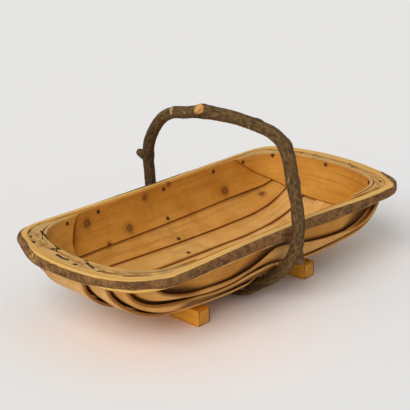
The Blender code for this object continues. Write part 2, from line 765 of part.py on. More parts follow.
def build_trug():
    clear_scene()
    boards = material("willow_boards", PALE_WILLOW, 0.62)
    rim_look = material("chestnut_bark", RIM_BARK, 0.8)
    branch_look = material("branch_bark", BRANCH_BARK, 0.8)
    foot_look = material("golden_foot_wood", GOLDEN_WOOD, 0.55)
    iron = material("rusty_iron", RUSTY_IRON, 0.7, 0.5)

    holes = add_object("nail_holes", add_nail_holes, None)
    as_cutter(holes)

    rim = add_object("rim", add_rim, rim_look, smooth_angle=50)
    add_boolean(rim, holes, "DIFFERENCE")
    make_boards(boards, holes)

    left = (-1, LEFT_LINING_TIP_X, LEFT_LINING_TIP_DROP, LEFT_LINING_SLANT, LEFT_LINING_STANDOFF)
    right = (1, RIGHT_LINING_TIP_X, RIGHT_LINING_TIP_DROP, RIGHT_LINING_SLANT, RIGHT_LINING_STANDOFF)
    for name, sizes in (("left_end_lining", left), ("right_end_lining", right)):
        lining = add_object(name, lambda shape: add_lining(shape, *sizes), boards)
        add_boolean(lining, holes, "DIFFERENCE")

    make_handle(branch_look, holes)
    for name, x in (("left_foot", -FOOT_X), ("right_foot", FOOT_X)):
        add_object(name, lambda shape: add_foot(shape, x), foot_look)
    for name, s, w, under, length in nail_places():
        add_object(name, lambda shape: add_nail(shape, s, w, under, length), iron)
    centre_on_origin()


build_trug()
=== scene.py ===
"""Looks of the garden trug: lapped willow boards in a bent rim with its bark on, and a natural branch
for the handle. Metres, +Z up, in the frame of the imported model.
"""
import math
from functools import reduce

import bmesh
import bpy
import numpy as np
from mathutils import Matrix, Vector, noise
from mathutils.bvhtree import BVHTree
from mathutils.kdtree import KDTree


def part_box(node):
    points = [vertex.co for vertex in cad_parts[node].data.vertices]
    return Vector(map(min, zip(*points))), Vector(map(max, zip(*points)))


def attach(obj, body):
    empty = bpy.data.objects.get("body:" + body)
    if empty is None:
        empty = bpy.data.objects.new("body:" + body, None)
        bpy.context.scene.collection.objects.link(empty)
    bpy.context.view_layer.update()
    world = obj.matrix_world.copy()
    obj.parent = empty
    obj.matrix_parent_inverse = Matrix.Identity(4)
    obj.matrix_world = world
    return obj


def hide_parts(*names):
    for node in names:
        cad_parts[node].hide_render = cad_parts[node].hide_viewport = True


# The hull and the rim, in the sizes that the solids have
RIM_HALF_LENGTH = 0.275
RIM_HALF_WIDTH = 0.1243
RIM_TOP = 0.1136
RIM_HEIGHT = 0.016
RIM_TAIL_HEIGHT = 0.0125
RIM_TAIL_LENGTH = 0.11
RIM_DEPTH_END = 0.0135
RIM_DEPTH_NEAR = 0.0131
RIM_DEPTH_FAR = 0.0083
RIM_BULGE = 0.0012
RIM_JOINT_X = -0.003
RIM_JOINT_GAP = 0.0016
END_BOW = 0.112
SIDE_FLARE = 0.019
SQUARENESS = 8.0
# The rim's own corners: (end, side): (squareness, outward flare)
RIM_CORNERS = {(-1, 1): (11.0, 0.055), (1, 1): (12.0, 0.019), (1, -1): (13.5, 0.019), (-1, -1): (8.5, 0.019)}
RIM_CORNER_DEPTH = 0.0155
HULL_BOTTOM = 0.0285
HULL_POWER = 3.8
HULL_UPRIGHT_ABOVE_RIM = 0.001
BOARD_TOP_BELOW_RIM = 0.0006
BOARD = 0.0036
FIT = 0.0003

HULL_HALF_WIDTH = RIM_HALF_WIDTH - (RIM_DEPTH_NEAR + RIM_DEPTH_FAR) / 2 - BOARD - FIT
HULL_HALF_LENGTH = RIM_HALF_LENGTH - RIM_DEPTH_END - 2 * BOARD - 3 * FIT
HULL_SHIFT = (RIM_DEPTH_NEAR - RIM_DEPTH_FAR) / 2
UPRIGHT_Z = RIM_TOP + HULL_UPRIGHT_ABOVE_RIM
BOARD_TOP = RIM_TOP - BOARD_TOP_BELOW_RIM
HULL_RISE = UPRIGHT_Z - HULL_BOTTOM
TOP_SHARE = 1 - ((UPRIGHT_Z - BOARD_TOP) / HULL_RISE) ** 2
LAP = BOARD + FIT

# Board edges across the hull, as shares of its half width: (amidships, at the ends)
KEEL_NEAR = (-0.096, -0.22)
KEEL_FAR = (0.524, 0.54)
FAR_LOW = ("far_low_0", "far_low_1", "far_low_2")
FAR_TOP = ((0.747, 0.727), (0.917, 0.91))
NEAR_LOW = ((0.032, 0.063), (-0.424, -0.434), "low_2", "low_3")
NEAR_TOP = ("top_0", "top_1", "top_2")
# The other edges wander with the boards: stations, then each edge's place across at them
WANDER_AT = (
    -1, -0.95, -0.9, -0.8, -0.65, -0.5, -0.35, -0.2, -0.1, 0, 0.15, 0.3, 0.45, 0.6, 0.75, 0.85, 0.92, 1,
)
WANDER = {
    "far_low_0": (0.366, 0.371, 0.375, 0.384, 0.394, 0.400, 0.402, 0.400, 0.395,
                  0.391, 0.387, 0.380, 0.362, 0.338, 0.310, 0.298, 0.290, 0.280),
    "far_low_1": (0.620, 0.632, 0.645, 0.665, 0.692, 0.706, 0.696, 0.686, 0.680,
                  0.675, 0.669, 0.664, 0.665, 0.656, 0.625, 0.598, 0.585, 0.570),
    "far_low_2": (0.800, 0.815, 0.830, 0.850, 0.866, 0.873, 0.873, 0.874, 0.875,
                  0.877, 0.880, 0.883, 0.887, 0.890, 0.881, 0.853, 0.795, 0.760),
    "top_0": (-0.520, -0.565, -0.610, -0.665, -0.690, -0.690, -0.700, -0.720, -0.720,
              -0.680, -0.600, -0.550, -0.550, -0.560, -0.580, -0.600, -0.615, -0.630),
    "low_2": (-0.680, -0.720, -0.780, -0.810, -0.800, -0.770, -0.760, -0.800, -0.810,
              -0.800, -0.760, -0.700, -0.670, -0.690, -0.730, -0.745, -0.755, -0.766),
    "top_1": (-0.745, -0.790, -0.865, -0.900, -0.885, -0.850, -0.840, -0.880, -0.890,
              -0.880, -0.840, -0.760, -0.735, -0.760, -0.840, -0.860, -0.870, -0.880),
    "low_3": (-0.900, -0.900, -0.920, -0.925, -0.908, -0.885, -0.880, -0.910, -0.940,
              -0.950, -0.930, -0.900, -0.880, -0.875, -0.880, -0.900, -0.930, -0.940),
    "top_2": (-0.955, -0.945, -0.948, -0.943, -0.922, -0.908, -0.905, -0.930, -0.962,
              -0.972, -0.958, -0.940, -0.922, -0.907, -0.912, -0.925, -0.960, -0.985),
}

# How far the boards' free edges stand off their neighbours, each as (left, right)
KEEL_LIFTS = ((0.0034, 0.0050), (0.0045, 0.0045))
FAR_LIFTS = ((0.0050, 0.0045), (0.0060, 0.0055))
NEAR_LIFTS = ((0.0034, 0.0055), (0.0042, 0.0065), (0.0050, 0.0080))
# Stations out from the middle where a stand-off starts, is full, starts to close and is closed
LIFT_SPAN = (0.5, 0.87, 0.955, 0.99)
LIFT_POWER = 1.5
# Stations and heights of the near boards' second stand-off, beside the branch
MIDDLE_LIFT_AT = (-0.62, -0.45, -0.25, -0.10, 0.0, 0.12, 0.30, 0.50, 0.66)
MIDDLE_LIFT = (0.0, 0.0016, 0.0026, 0.0022, 0.0, 0.0, 0.0022, 0.0024, 0.0)
MIDDLE_SHARE = {"near_board_1": 2.0, "near_board_2": 0.9, "near_board_3": 1.0}
MIDDLE_LIFT_POWER = 3

# End linings: thickness at the end and along the arms, depth in the middle, and how it lessens
LINING = 0.0045
LINING_ARM = 0.0032
LINING_DROP = 0.053
LINING_RISE_POWER = 2.4
# Each lining: (end, tip x, tip drop, slant, stand-off, how far its top stands in at (arms, end))
LEFT_LINING = (-1, -0.147, 0.056, 0.046, 0.004, (0.0006, 0.0062))
RIGHT_LINING = (1, 0.159, 0.003, 0.002, 0.0015, (0.0008, 0.0020))

# The handle, as its solid has it
HOOP_X = 0.010
HOOP_RADIUS = 0.0082
HOOP_LUMP = 0.04
HANDLE_HEIGHT = 0.1244
HOOP_REACH = RIM_HALF_WIDTH + RIM_BULGE + FIT + HOOP_RADIUS * (1 + HOOP_LUMP)
NEAR_TAIL_X = 0.006
NEAR_TAIL_TURN = (-0.95, -0.3)
NEAR_TAIL_END = 0.0
FAR_TAIL_X = -0.0135
FAR_TAIL_TURN = (0.75, 0.05)
FAR_TAIL_END = -0.74
FAR_TAIL_SPLIT = (-0.1, -0.5)
FAR_TAIL_DROP = 0.0055
FAR_TAIL_GIRTH = 0.55
FAR_TAIL_TIP_GIRTH = 0.25
ARCH = (
    (-1.0, -0.05, 1.0), (-1.0, 0.045, 1.05), (-0.975, 0.26, 1.04), (-0.925, 0.46, 1.1),
    (-0.875, 0.69, 1.08), (-0.805, 0.85, 1.08), (-0.66, 0.95, 1.05), (-0.44, 0.985, 1.03),
    (-0.18, 1.0, 1.06), (0.09, 0.99, 1.14), (0.23, 0.975, 1.22), (0.36, 0.945, 1.08),
    (0.5, 0.905, 1.04), (0.66, 0.865, 1.0), (0.8, 0.785, 1.0), (0.92, 0.64, 1.0),
    (1.005, 0.46, 1.0), (1.03, 0.27, 0.98), (1.015, 0.1, 0.97), (1.0, -0.05, 0.99),
)
LEG_TURN = ((0.985, 0.023), (0.94, 0.038), (0.875, 0.053))
NEAR_LEG_STUB = ((0.36, 0.06, -0.93), 0.0218, 0.88, 0.73)
FAR_LEG_STUB = ((-0.2, 0.95, 0.30), 0.0103, 0.90, 0.52)
FAR_LEG_STUB_POINT = 17
TOP_KNOT = ((-0.84, -0.08, 0.53), 0.0042, 0.98, 0.90)
TOP_KNOT_POINT = 10

# Feet
FOOT_X = 0.1037
FOOT_WIDTH = 0.0217
FOOT_HEIGHT = 0.022
FOOT_HALF_LENGTH = 0.0776

# Camera
CAMERA_PLACE = (-1.284, -1.206, 0.780)
CAMERA_BACK = (-0.6766, -0.6460, 0.3534)
CAMERA_LENS = 124.6

# Light and floor
SUN_FROM = (-1.0, -0.30, 0.90)
SUN_STRENGTH = 2.0
SUN_SPREAD = math.radians(42)
SKY_STRENGTH = 0.54
SKY_COLOUR = (1.0, 0.99, 0.98, 1)
FLOOR_COLOUR = (0.83, 0.825, 0.815)
FLOOR_HALF = 12.0
# Painted bounce light: the floor's colour is warmer near the trug, standing in for the light that the wood
# throws on it
BOUNCE_PAINT_COLOUR = (0.96, 0.85, 0.79)
BOUNCE_PAINT_PLACE = (-0.11, -0.09, 0.0)
BOUNCE_PAINT_REACH = 0.27


class Wire:
    """A socket of a material under way. Python's operators on it add Math nodes."""

    def __init__(self, finish, socket):
        self.finish = finish
        self.socket = socket

    def maths(self, operation, *others, clamp=False):
        settings = {"operation": operation, "use_clamp": clamp}
        return self.finish.node("ShaderNodeMath", settings, dict(enumerate((self, *others))))

    def flipped(self, operation, other):
        return self.finish.node("ShaderNodeMath", {"operation": operation}, {0: other, 1: self})

    def __add__(self, other):
        return self.maths("ADD", other)

    def __sub__(self, other):
        return self.maths("SUBTRACT", other)

    def __mul__(self, other):
        return self.maths("MULTIPLY", other)

    def __truediv__(self, other):
        return self.maths("DIVIDE", other)

    def __radd__(self, other):
        return self.flipped("ADD", other)

    def __rsub__(self, other):
        return self.flipped("SUBTRACT", other)

    def __rmul__(self, other):
        return self.flipped("MULTIPLY", other)

    def __abs__(self):
        return self.maths("ABSOLUTE")

    def clamp(self):
        return self.maths("ADD", 0.0, clamp=True)

    def most(self, other):
        return self.maths("MAXIMUM", other)

    def rise(self, low, high):
        """0 below low, 1 above high, smooth between; low may be the larger one."""
        inputs = {"Value": self, "From Min": low, "From Max": high}
        return self.finish.node("ShaderNodeMapRange", {"interpolation_type": "SMOOTHSTEP"}, inputs)


class Finish:
    """A material under way."""

    def __init__(self, name):
        self.material = bpy.data.materials.new(name)
        self.material.use_nodes = True
        self.tree = self.material.node_tree
        self.shader = self.tree.nodes["Principled BSDF"]
        self.here = self.node("ShaderNodeNewGeometry", {}, {}, "Position")

    def feed(self, socket, value):
        if isinstance(value, Wire):
            self.tree.links.new(value.socket, socket)
        elif isinstance(value, tuple) and len(value) == 3 and socket.type == "RGBA":
            socket.default_value = (*value, 1)
        else:
            socket.default_value = value

    def node(self, kind, settings, inputs, output=0):
        """Add a node: its settings first, then the values or links of its sockets."""
        made = self.tree.nodes.new(kind)
        for name, value in settings.items():
            setattr(made, name, value)
        for key, value in inputs.items():
            self.feed(made.inputs[key], value)
        return Wire(self, made.outputs[output])

    def mix(self, share, first, second):
        settings = {"data_type": "RGBA"}
        return self.node("ShaderNodeMix", settings, {0: share, 6: first, 7: second}, 2)

    def coats(self, colour, *coats):
        """Lay coats over a colour in turn, each a share and a colour."""
        for share, coat in coats:
            colour = self.mix(share, colour, coat)
        return colour

    def vector(self, operation, *parts):
        output = "Value" if operation in ("DISTANCE", "DOT_PRODUCT") else "Vector"
        return self.node("ShaderNodeVectorMath", {"operation": operation}, dict(enumerate(parts)), output)

    def attribute(self, name, output="Fac"):
        return self.node("ShaderNodeAttribute", {"attribute_name": name}, {}, output)

    def noise(self, scale, detail=3.0, rough=0.6, bend=0.0, place=None):
        inputs = {"Vector": place or self.here, "Scale": scale, "Detail": detail, "Roughness": rough,
                  "Distortion": bend}
        return self.node("ShaderNodeTexNoise", {}, inputs)

    def drawn_out(self, place, scales, detail=3.0, rough=0.6, bend=0.0):
        """Noise with its own scale for each axis of a place."""
        return self.noise(1.0, detail, rough, bend, self.vector("MULTIPLY", place, scales))

    def part(self, vector, axis):
        return self.node("ShaderNodeSeparateXYZ", {}, {0: vector}, axis)

    def near(self, centre, radius, wobble=None):
        """1 at a spot's centre, falling smoothly to 0 at its radius."""
        gap = self.vector("DISTANCE", self.here, centre)
        if wobble:
            gap = gap + wobble
        return gap.rise(radius, 0.0)

    def bump(self, height, depth):
        """Feed a height, in metres when multiplied by depth, to the shader's normal."""
        normal = self.node("ShaderNodeBump", {}, {"Height": height, "Distance": depth, "Strength": 1.0})
        self.feed(self.shader.inputs["Normal"], normal)

    def finish(self, colour, roughness, specular):
        self.feed(self.shader.inputs["Base Color"], colour)
        self.feed(self.shader.inputs["Roughness"], roughness)
        self.feed(self.shader.inputs["Specular IOR Level"], specular)
        return self.material


def in_scene(place):
    """A place in the hull's frame, moved to where the trug stands."""
    return tuple(float(v) for v in np.array(place) + TRUG_PLACE)


# Hull surface. s runs from end to end and w from side to side, both from -1 to 1.

def lerp(a, b, share):
    return a + (b - a) * share


def ramp(value, low=0.0, high=1.0):
    """Smooth step of a number or an array."""
    share = np.clip((value - low) / (high - low), 0.0, 1.0)
    return share * share * (3 - 2 * share)


def swell(value, rises, full, closes, closed):
    """From 0 up to 1 and back to 0 along a value."""
    return ramp(value, rises, full) * (1 - ramp(value, closes, closed))


def unit(vectors):
    """Vectors along the last axis, scaled to length 1."""
    return vectors / np.linalg.norm(vectors, axis=-1, keepdims=True)


def ripple(height, x, y, z):
    return height * noise.noise(Vector((x, y, z)))


def plan_shares(s, w, square=SQUARENESS):
    a = s * (1 - np.abs(w) ** square / 2) ** (1 / square)
    b = w * (1 - np.abs(s) ** square / 2) ** (1 / square)
    return a, b


def plan_point(a, b, half_length, half_width, flare=SIDE_FLARE):
    return half_length * a * (1 - END_BOW * b * b), half_width * b * (1 + flare * a * a)


def surface_reach(a, b):
    reach = (np.abs(a) ** SQUARENESS + np.abs(b) ** SQUARENESS) ** (1 / SQUARENESS)
    return np.clip(reach, 1e-6, 1.0)


def reach_at(z):
    """The share of the hull's reach at which its inner face is at height z."""
    wall = ((UPRIGHT_Z - z) / HULL_RISE) ** 2
    return ((1 - wall) / TOP_SHARE) ** (1 / HULL_POWER)


def surface_point(a, b):
    x, y = plan_point(a, b, HULL_HALF_LENGTH, HULL_HALF_WIDTH)
    wall = 1 - TOP_SHARE * surface_reach(a, b) ** HULL_POWER
    return np.stack(np.broadcast_arrays(x, HULL_SHIFT + y, UPRIGHT_Z - HULL_RISE * np.sqrt(wall)), axis=-1)


def surface_normal(a, b):
    """The way out of the hull, square to its inner face."""
    reach = surface_reach(a, b)
    wall = np.sqrt(1 - TOP_SHARE * reach ** HULL_POWER)
    steepness = HULL_RISE * TOP_SHARE * HULL_POWER * reach ** (HULL_POWER - 1) / (2 * wall)
    rise_a = steepness * np.sign(a) * (np.abs(a) / reach) ** (SQUARENESS - 1)
    rise_b = steepness * np.sign(b) * (np.abs(b) / reach) ** (SQUARENESS - 1)
    bow = END_BOW * b
    flare = SIDE_FLARE * a
    along = np.stack(np.broadcast_arrays(
        HULL_HALF_LENGTH * (1 - bow * b), 2 * HULL_HALF_WIDTH * flare * b, rise_a), axis=-1)
    across = np.stack(np.broadcast_arrays(
        -2 * HULL_HALF_LENGTH * a * bow, HULL_HALF_WIDTH * (1 + flare * a), rise_b), axis=-1)
    return unit(np.cross(across, along))


def hull_point(s, w):
    return surface_point(*plan_shares(s, w))


def hull_normal(s, w):
    return surface_normal(*plan_shares(s, w))


def side_station(x, w):
    """The station s at which the hull line w passes x."""
    low, high = -1.0, 1.0
    for _ in range(40):
        middle = (low + high) / 2
        if hull_point(middle, w)[0] > x:
            high = middle
        else:
            low = middle
    return (low + high) / 2


def wander(name, s):
    """A wandering edge's place across at station s, averaged over its neighbourhood."""
    places = np.clip(np.add.outer(np.asarray(s, dtype=float), np.linspace(-0.05, 0.05, 9)), -1, 1)
    return np.interp(places, WANDER_AT, WANDER[name]).mean(axis=-1)


def edge(line, s):
    """An edge's place across at station s: a wandering edge by name, or from (amidships, at the ends)."""
    if isinstance(line, str):
        return wander(line, s)
    middle, end = line
    return lerp(middle, end, s * s)


def run_along(points):
    """Length along a line of points, up to each of them."""
    return np.concatenate([[0.0], np.cumsum(np.linalg.norm(np.diff(points, axis=0), axis=1))])


def spread(points, count, turn_length):
    """Places along a fine polyline, evenly by length and closer where it turns."""
    steps = np.diff(points, axis=0)
    weights = np.linalg.norm(steps, axis=1)
    units = unit(steps)
    weights[1:] += np.arccos(np.clip(np.sum(units[1:] * units[:-1], axis=1), -1, 1)) * turn_length
    run = np.concatenate([[0.0], np.cumsum(weights)])
    return np.interp(np.linspace(0, run[-1], count + 1), run, np.arange(len(points)))


def picked(places, *lines):
    """The values of fine lines at places between their rows."""
    index = np.arange(len(lines[0]))
    return [np.stack([np.interp(places, index, column) for column in line.T], axis=1) for line in lines]


# Pieces

def add_piece(name, mesh, look, slot, *nodes, **values):
    """Link a mesh as a piece that stands for the named solids, with the values that its finish reads."""
    for key, numbers in values.items():
        numbers = np.broadcast_to(numbers, (len(mesh.vertices), *np.shape(numbers)[1:]))
        kind, field = ("FLOAT_VECTOR", "vector") if numbers.ndim == 2 else ("FLOAT", "value")
        made = mesh.attributes.new(key, kind, "POINT")
        made.data.foreach_set(field, numbers.astype(np.float32).ravel())
    mesh.materials.append(look)
    piece = bpy.data.objects.new(name, mesh)
    bpy.context.scene.collection.objects.link(piece)
    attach(piece, "root")
    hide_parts(*nodes)


def loft(name, rings, closed=False, smooth_angle=38):
    """A closed skin over rings of points, shape (rings, points, 3). Flat ends unless it is closed."""
    count, sides, _ = rings.shape
    faces = []
    for i in range(count if closed else count - 1):
        n = (i + 1) % count
        for k in range(sides):
            m = (k + 1) % sides
            faces.append((i * sides + k, i * sides + m, n * sides + m, n * sides + k))
    if not closed:
        faces.append(tuple(range(sides - 1, -1, -1)))
        faces.append(tuple(range((count - 1) * sides, count * sides)))
    mesh = bpy.data.meshes.new(name)
    mesh.from_pydata(rings.reshape(-1, 3).tolist(), [], faces)
    mesh.update()
    turn_out(mesh)
    mesh.shade_smooth()
    mesh.set_sharp_from_angle(angle=math.radians(smooth_angle))
    return mesh


def turn_out(mesh):
    """Flip the faces of a closed mesh if they point inward."""
    mesh.calc_loop_triangles()
    corners = np.array([v.co for v in mesh.vertices])
    triangles = np.array([t.vertices for t in mesh.loop_triangles])
    a, b, c = (corners[triangles[:, k]] for k in range(3))
    if np.sum(a * np.cross(b, c)) < 0:
        mesh.flip_normals()


# Plan of the rim

RIM_RINGS = 560
# Stations between which the second board comes in under the rim's end
SECOND_BOARD_FROM = (0.84, 0.94)
# How much nearer the rim's inner face stands to its outer edge at the left end, and from which station
LEFT_RIM_SET_BACK = 0.0022
LEFT_SET_BACK_FROM = (0.86, 0.97)
# How far the far left corner is drawn in, its depth there, and where it lies along and across
LEFT_TIP_PULL = 0.0022
FAR_LEFT_DEPTH = 0.0118
LEFT_TIP_X = (0.19, 0.235)
LEFT_TIP_Y = (0.06, 0.10)
FAR_LEFT_Y = (0.055, 0.085)


def rim_clearance(s, w):
    """Thickness of the boards between the hull's inner face and the rim."""
    two_boards = ramp(abs(s), *SECOND_BOARD_FROM) if abs(w) > abs(s) else 1.0
    set_back = LEFT_RIM_SET_BACK * ramp(-s, *LEFT_SET_BACK_FROM)
    return lerp(BOARD + FIT, 2 * BOARD + 3 * FIT, two_boards) + set_back


def rim_outline(s, w):
    square, flare = RIM_CORNERS[(-1 if s < 0 else 1, -1 if w < 0 else 1)]
    x, y = plan_point(*plan_shares(s, w, square), RIM_HALF_LENGTH, RIM_HALF_WIDTH, flare)
    pull = LEFT_TIP_PULL * ramp(y, *LEFT_TIP_Y) * ramp(-x, *LEFT_TIP_X)
    return np.array((x + pull, y - pull * 0.4))


def rim_lines():
    """Outer and inner plan points right round, from the joint at the near side."""
    gap = RIM_JOINT_GAP / 2
    start = side_station(RIM_JOINT_X + gap, -1)
    finish = side_station(RIM_JOINT_X - gap, -1)
    corners = ((start, -1), (1, -1), (1, 1), (-1, 1), (-1, -1), (finish, -1))
    outer = []
    inner = []
    for first, second in zip(corners, corners[1:]):
        for share in np.linspace(0, 1, 260, endpoint=False):
            s, w = (lerp(p, q, share) for p, q in zip(first, second))
            outside = rim_outline(s, w)
            seat = hull_point(s, w)[:2] + unit(hull_normal(s, w)[:2]) * rim_clearance(s, w)
            at_far_left = ramp(outside[1], *FAR_LEFT_Y) * ramp(-outside[0], *LEFT_TIP_X)
            most = lerp(RIM_CORNER_DEPTH, FAR_LEFT_DEPTH, at_far_left)
            outer.append(outside)
            inner.append(lerp(outside, seat, min(most / np.linalg.norm(outside - seat), 1)))
    return picked(spread(outer, RIM_RINGS - 1, 0.03), np.array(outer), np.array(inner))


RIM_OUTER, RIM_INNER = rim_lines()

# Boards

BOARD_STATIONS = 150
BOARD_ROWS = 22
# Stations out from the middle, with the thickness left at a free edge and the shaved bevel's width
EDGE_AT = (0.0, 0.25, 0.55, 0.8, 1.0)
EDGE_THICKNESS = (0.0012, 0.0014, 0.0022, 0.0032, 0.0034)
BEVEL_WIDTHS = (0.0085, 0.0075, 0.0035, 0.0014, 0.0012)
BEVEL_SHARE = {"near_board_1": 0.5, "near_board_2": 0.26}
ROUND = 0.0006
# How far past a neighbour's free edge a board carries painted shade, in shares of the half width:
# amidships more, and on the left and in the near side board's hollow on the right more again
SHADE_REACH = 0.036
SHADE_REACH_MIDDLE = 0.054
SHADE_REACH_LEFT = 0.022
HOLLOW_REACH = 0.16
# Where these hold along the boards: the middle one's place and how far out it fades, and the hollow's span
MIDDLE_SHADE_AT = -0.1
MIDDLE_SHADE_SPAN = (0.12, 0.3)
HOLLOW_SPAN = (0.62, 0.82, 0.97, 0.995)
# How much painted shade the faces of the lowest near boards carry, where they turn under
BELLY_SHADE = {"near_board_2": 0.80, "near_board_1": 0.10}
BELLY_SPAN = (0.66, 0.80)
# Reach of the painted shade beside the laps inside, in shares of the half width, and its strength
INNER_REACH = (0.002, 0.024)
INNER_SHADE = 0.6
# Width of the brown band of painted shade along the free edges, and the stations from which it is there at
# the left end
SHADED_EDGE_WIDTH = 0.0030
LEFT_END_FROM = (0.55, 0.8)
# The left board ends are thicker on the inside, behind the lining: how much, and from which x and z
END_GROWTH = 0.0052
END_GROWTH_X = (0.200, 0.235)
END_GROWTH_Z = (0.085, 0.110)
# The board ends fill out to the rim round them but for this room, from which x and z
END_CLEARANCE = 0.0005
FILL_SHARE = 0.94
FILL_X = (0.165, 0.195)
FILL_Z = (0.0975, 0.1000)
# How much lower each next board's end lies
TOP_STEP = 0.0002
TINY = 1e-9


def board_stations():
    fine = np.linspace(-1, 1, 801)
    places = spread(hull_point(fine, 0.0), BOARD_STATIONS, 0.03)
    return np.interp(places, np.arange(801), fine)


def lift_at(s, lifts):
    """How far a board's free edge stands off its neighbour at a station."""
    return lifts[0 if s < 0 else 1] * swell(abs(s), *LIFT_SPAN)


def bevel_width(s, flare):
    return ROUND * 2 if flare is None else np.interp(abs(s), EDGE_AT, BEVEL_WIDTHS)


def section_places(width, bevel_low, bevel_top):
    """Distances across a board, closer together at its bevels."""
    inner = np.linspace(bevel_low, width - bevel_top, BOARD_ROWS - 7)
    low = np.array((0.0, ROUND, bevel_low * 0.5))
    top = width - np.array((bevel_top * 0.66, bevel_top * 0.33, ROUND, 0.0))
    return np.concatenate([low, inner, top])


def round_section(inner, outer):
    """What belongs to the points round a section, along the inner face and back along the outer one."""
    return np.concatenate([inner, outer[::-1]])


def grain_labels(run, places, number):
    """Along the grain, across it, and a number that keeps each board's grain its own."""
    labels = np.stack(np.broadcast_arrays(run, places, number), axis=1)
    return round_section(labels, labels + (0, 0, 0.05))


def grown_ends(base, normal, inside, thick):
    """Thicken the left board ends inwards and fill all ends out to the rim."""
    growth = END_GROWTH * ramp(-base[:, 0], *END_GROWTH_X) * ramp(base[:, 2], *END_GROWTH_Z)
    inside = inside - growth
    thick = thick + growth
    at_ends = ramp(np.abs(base[:, 0]), *FILL_X) * ramp(base[:, 2], *FILL_Z)
    if at_ends.any():
        outside = base + normal * (inside + thick)[:, None]
        to_rim = np.linalg.norm(outside[:, None, :2] - RIM_INNER, axis=2).min(axis=1)
        thick = thick + np.maximum(to_rim - END_CLEARANCE, 0) * FILL_SHARE * at_ends
    return inside, thick


def outer_shade(name, s, out_of_lap, from_top, bevel_top):
    """The painted shade on the outer face beside the lap, and where the belly turns under."""
    reach = SHADE_REACH + SHADE_REACH_MIDDLE * (1 - ramp(abs(s - MIDDLE_SHADE_AT), *MIDDLE_SHADE_SPAN))
    reach += SHADE_REACH_LEFT * ramp(-s, *LEFT_END_FROM)
    if name == "near_side_board":
        reach += HOLLOW_REACH * swell(s, *HOLLOW_SPAN)
    belly = BELLY_SHADE.get(name, 0.0) * (1 - ramp(abs(s), *BELLY_SPAN))
    face = ramp(from_top, bevel_top * 0.6, bevel_top * 1.1)
    return np.maximum(1 - ramp(out_of_lap, -0.004, reach), belly * face)


def board_mesh(name, low, top, hinge_low, hinge_top, layers, flare_low, flare_top, number):
    """Bend a board over the hull, and give the values that its finish reads.

    low and top are its edges. hinge_low and hinge_top are the edges between which it steps out
    from the first to the second of its layers. A flare lifts that edge off its neighbour.
    """
    stations = board_stations()
    stepped = layers[0] != layers[1]
    hinged = hinge_low != hinge_top
    rings, grain, shade, cut = [], [], [], []
    for s, run in zip(stations, run_along(hull_point(stations, edge(low, stations)))):
        w_low, w_top, w_start, w_end = (edge(line, s) for line in (low, top, hinge_low, hinge_top))
        fine = np.linspace(w_low, w_top, 40)
        across = run_along(hull_point(np.full(40, s), fine))
        bevel_low = bevel_width(s, flare_low)
        bevel_top = max(bevel_width(s, flare_top) * BEVEL_SHARE.get(name, 1.0), ROUND * 2)
        places = section_places(across[-1], bevel_low, bevel_top)
        from_top = across[-1] - places
        w = np.interp(places, across, fine)
        none = np.zeros(len(w))
        inside = none + lerp(*layers, ramp((w - w_start) / (w_end - w_start)) if hinged else 0.0)
        if flare_top is not None:
            swing = np.clip((w - w_start) / (w_top - w_start), 0, 1)
            inside += lift_at(s, flare_top) * swing ** LIFT_POWER
            middle_lift = MIDDLE_SHARE.get(name, 0.0) * np.interp(s, MIDDLE_LIFT_AT, MIDDLE_LIFT)
            inside += middle_lift * swing ** MIDDLE_LIFT_POWER
        if flare_low is not None:
            swing = np.clip((w - w_end) / (w_low - w_end), 0, 1)
            inside += lift_at(s, flare_low) * swing ** LIFT_POWER
        thinning = BOARD - np.interp(abs(s), EDGE_AT, EDGE_THICKNESS)
        thick = none + BOARD
        at_edge = none
        for flare, gap, bevel in ((flare_top, from_top, bevel_top), (flare_low, places, bevel_low)):
            if flare is not None:
                thick -= thinning * (1 - np.clip(gap / bevel, 0, 1))
                at_edge = np.maximum(at_edge, 1 - ramp(gap, SHADED_EDGE_WIDTH * 0.5, SHADED_EDGE_WIDTH))
        base = hull_point(none + s, w)
        normal = hull_normal(none + s, w)
        inside, thick = grown_ends(base, normal, inside, thick)
        faces = [base + normal * away[:, None] for away in (inside, inside + thick)]
        at_top = (abs(s) > 1 - TINY) | (np.abs(w) > 1 - TINY)
        for face in faces:
            face[at_top, 2] = BOARD_TOP - TOP_STEP * number
        way = np.sign(w_end - w_start if hinged else w_start)
        # Painted shade: in the hollow beside the lap and on the belly outside, and beside the laps inside
        outer_painted_shade = none
        if stepped or not hinged:
            outer_painted_shade = outer_shade(name, s, (w - w_start) * way, from_top, bevel_top)
        inner_painted_shade = none
        if hinged:
            inner_painted_shade = 1 - ramp((w_end - w) * way, *INNER_REACH)
        if hinged and not stepped:
            inner_painted_shade = np.maximum(inner_painted_shade, 1 - ramp((w - w_start) * way, *INNER_REACH))
        rings.append(round_section(*faces))
        grain.append(grain_labels(run, places, number * 0.37))
        shade.append(round_section(inner_painted_shade * INNER_SHADE, outer_painted_shade))
        # Painted shade along the free edges at the left end
        cut.append(round_section(at_edge, at_edge) * ramp(-s, *LEFT_END_FROM))
    values = {"grain": grain, "shade": shade, "cut": cut}
    mesh = loft(name, np.array(rings) + TRUG_PLACE)
    return mesh, {key: np.concatenate(rows) for key, rows in values.items()}


# How light each board's wood is, from 0 to 1
TONES = {
    "keel_board": 0.85, "far_board_1": 0.60, "far_board_2": 0.25, "far_side_board": 0.08,
    "near_board_1": 0.8, "near_board_2": 0.5, "near_board_3": 0.55, "near_side_board": 0.15,
}


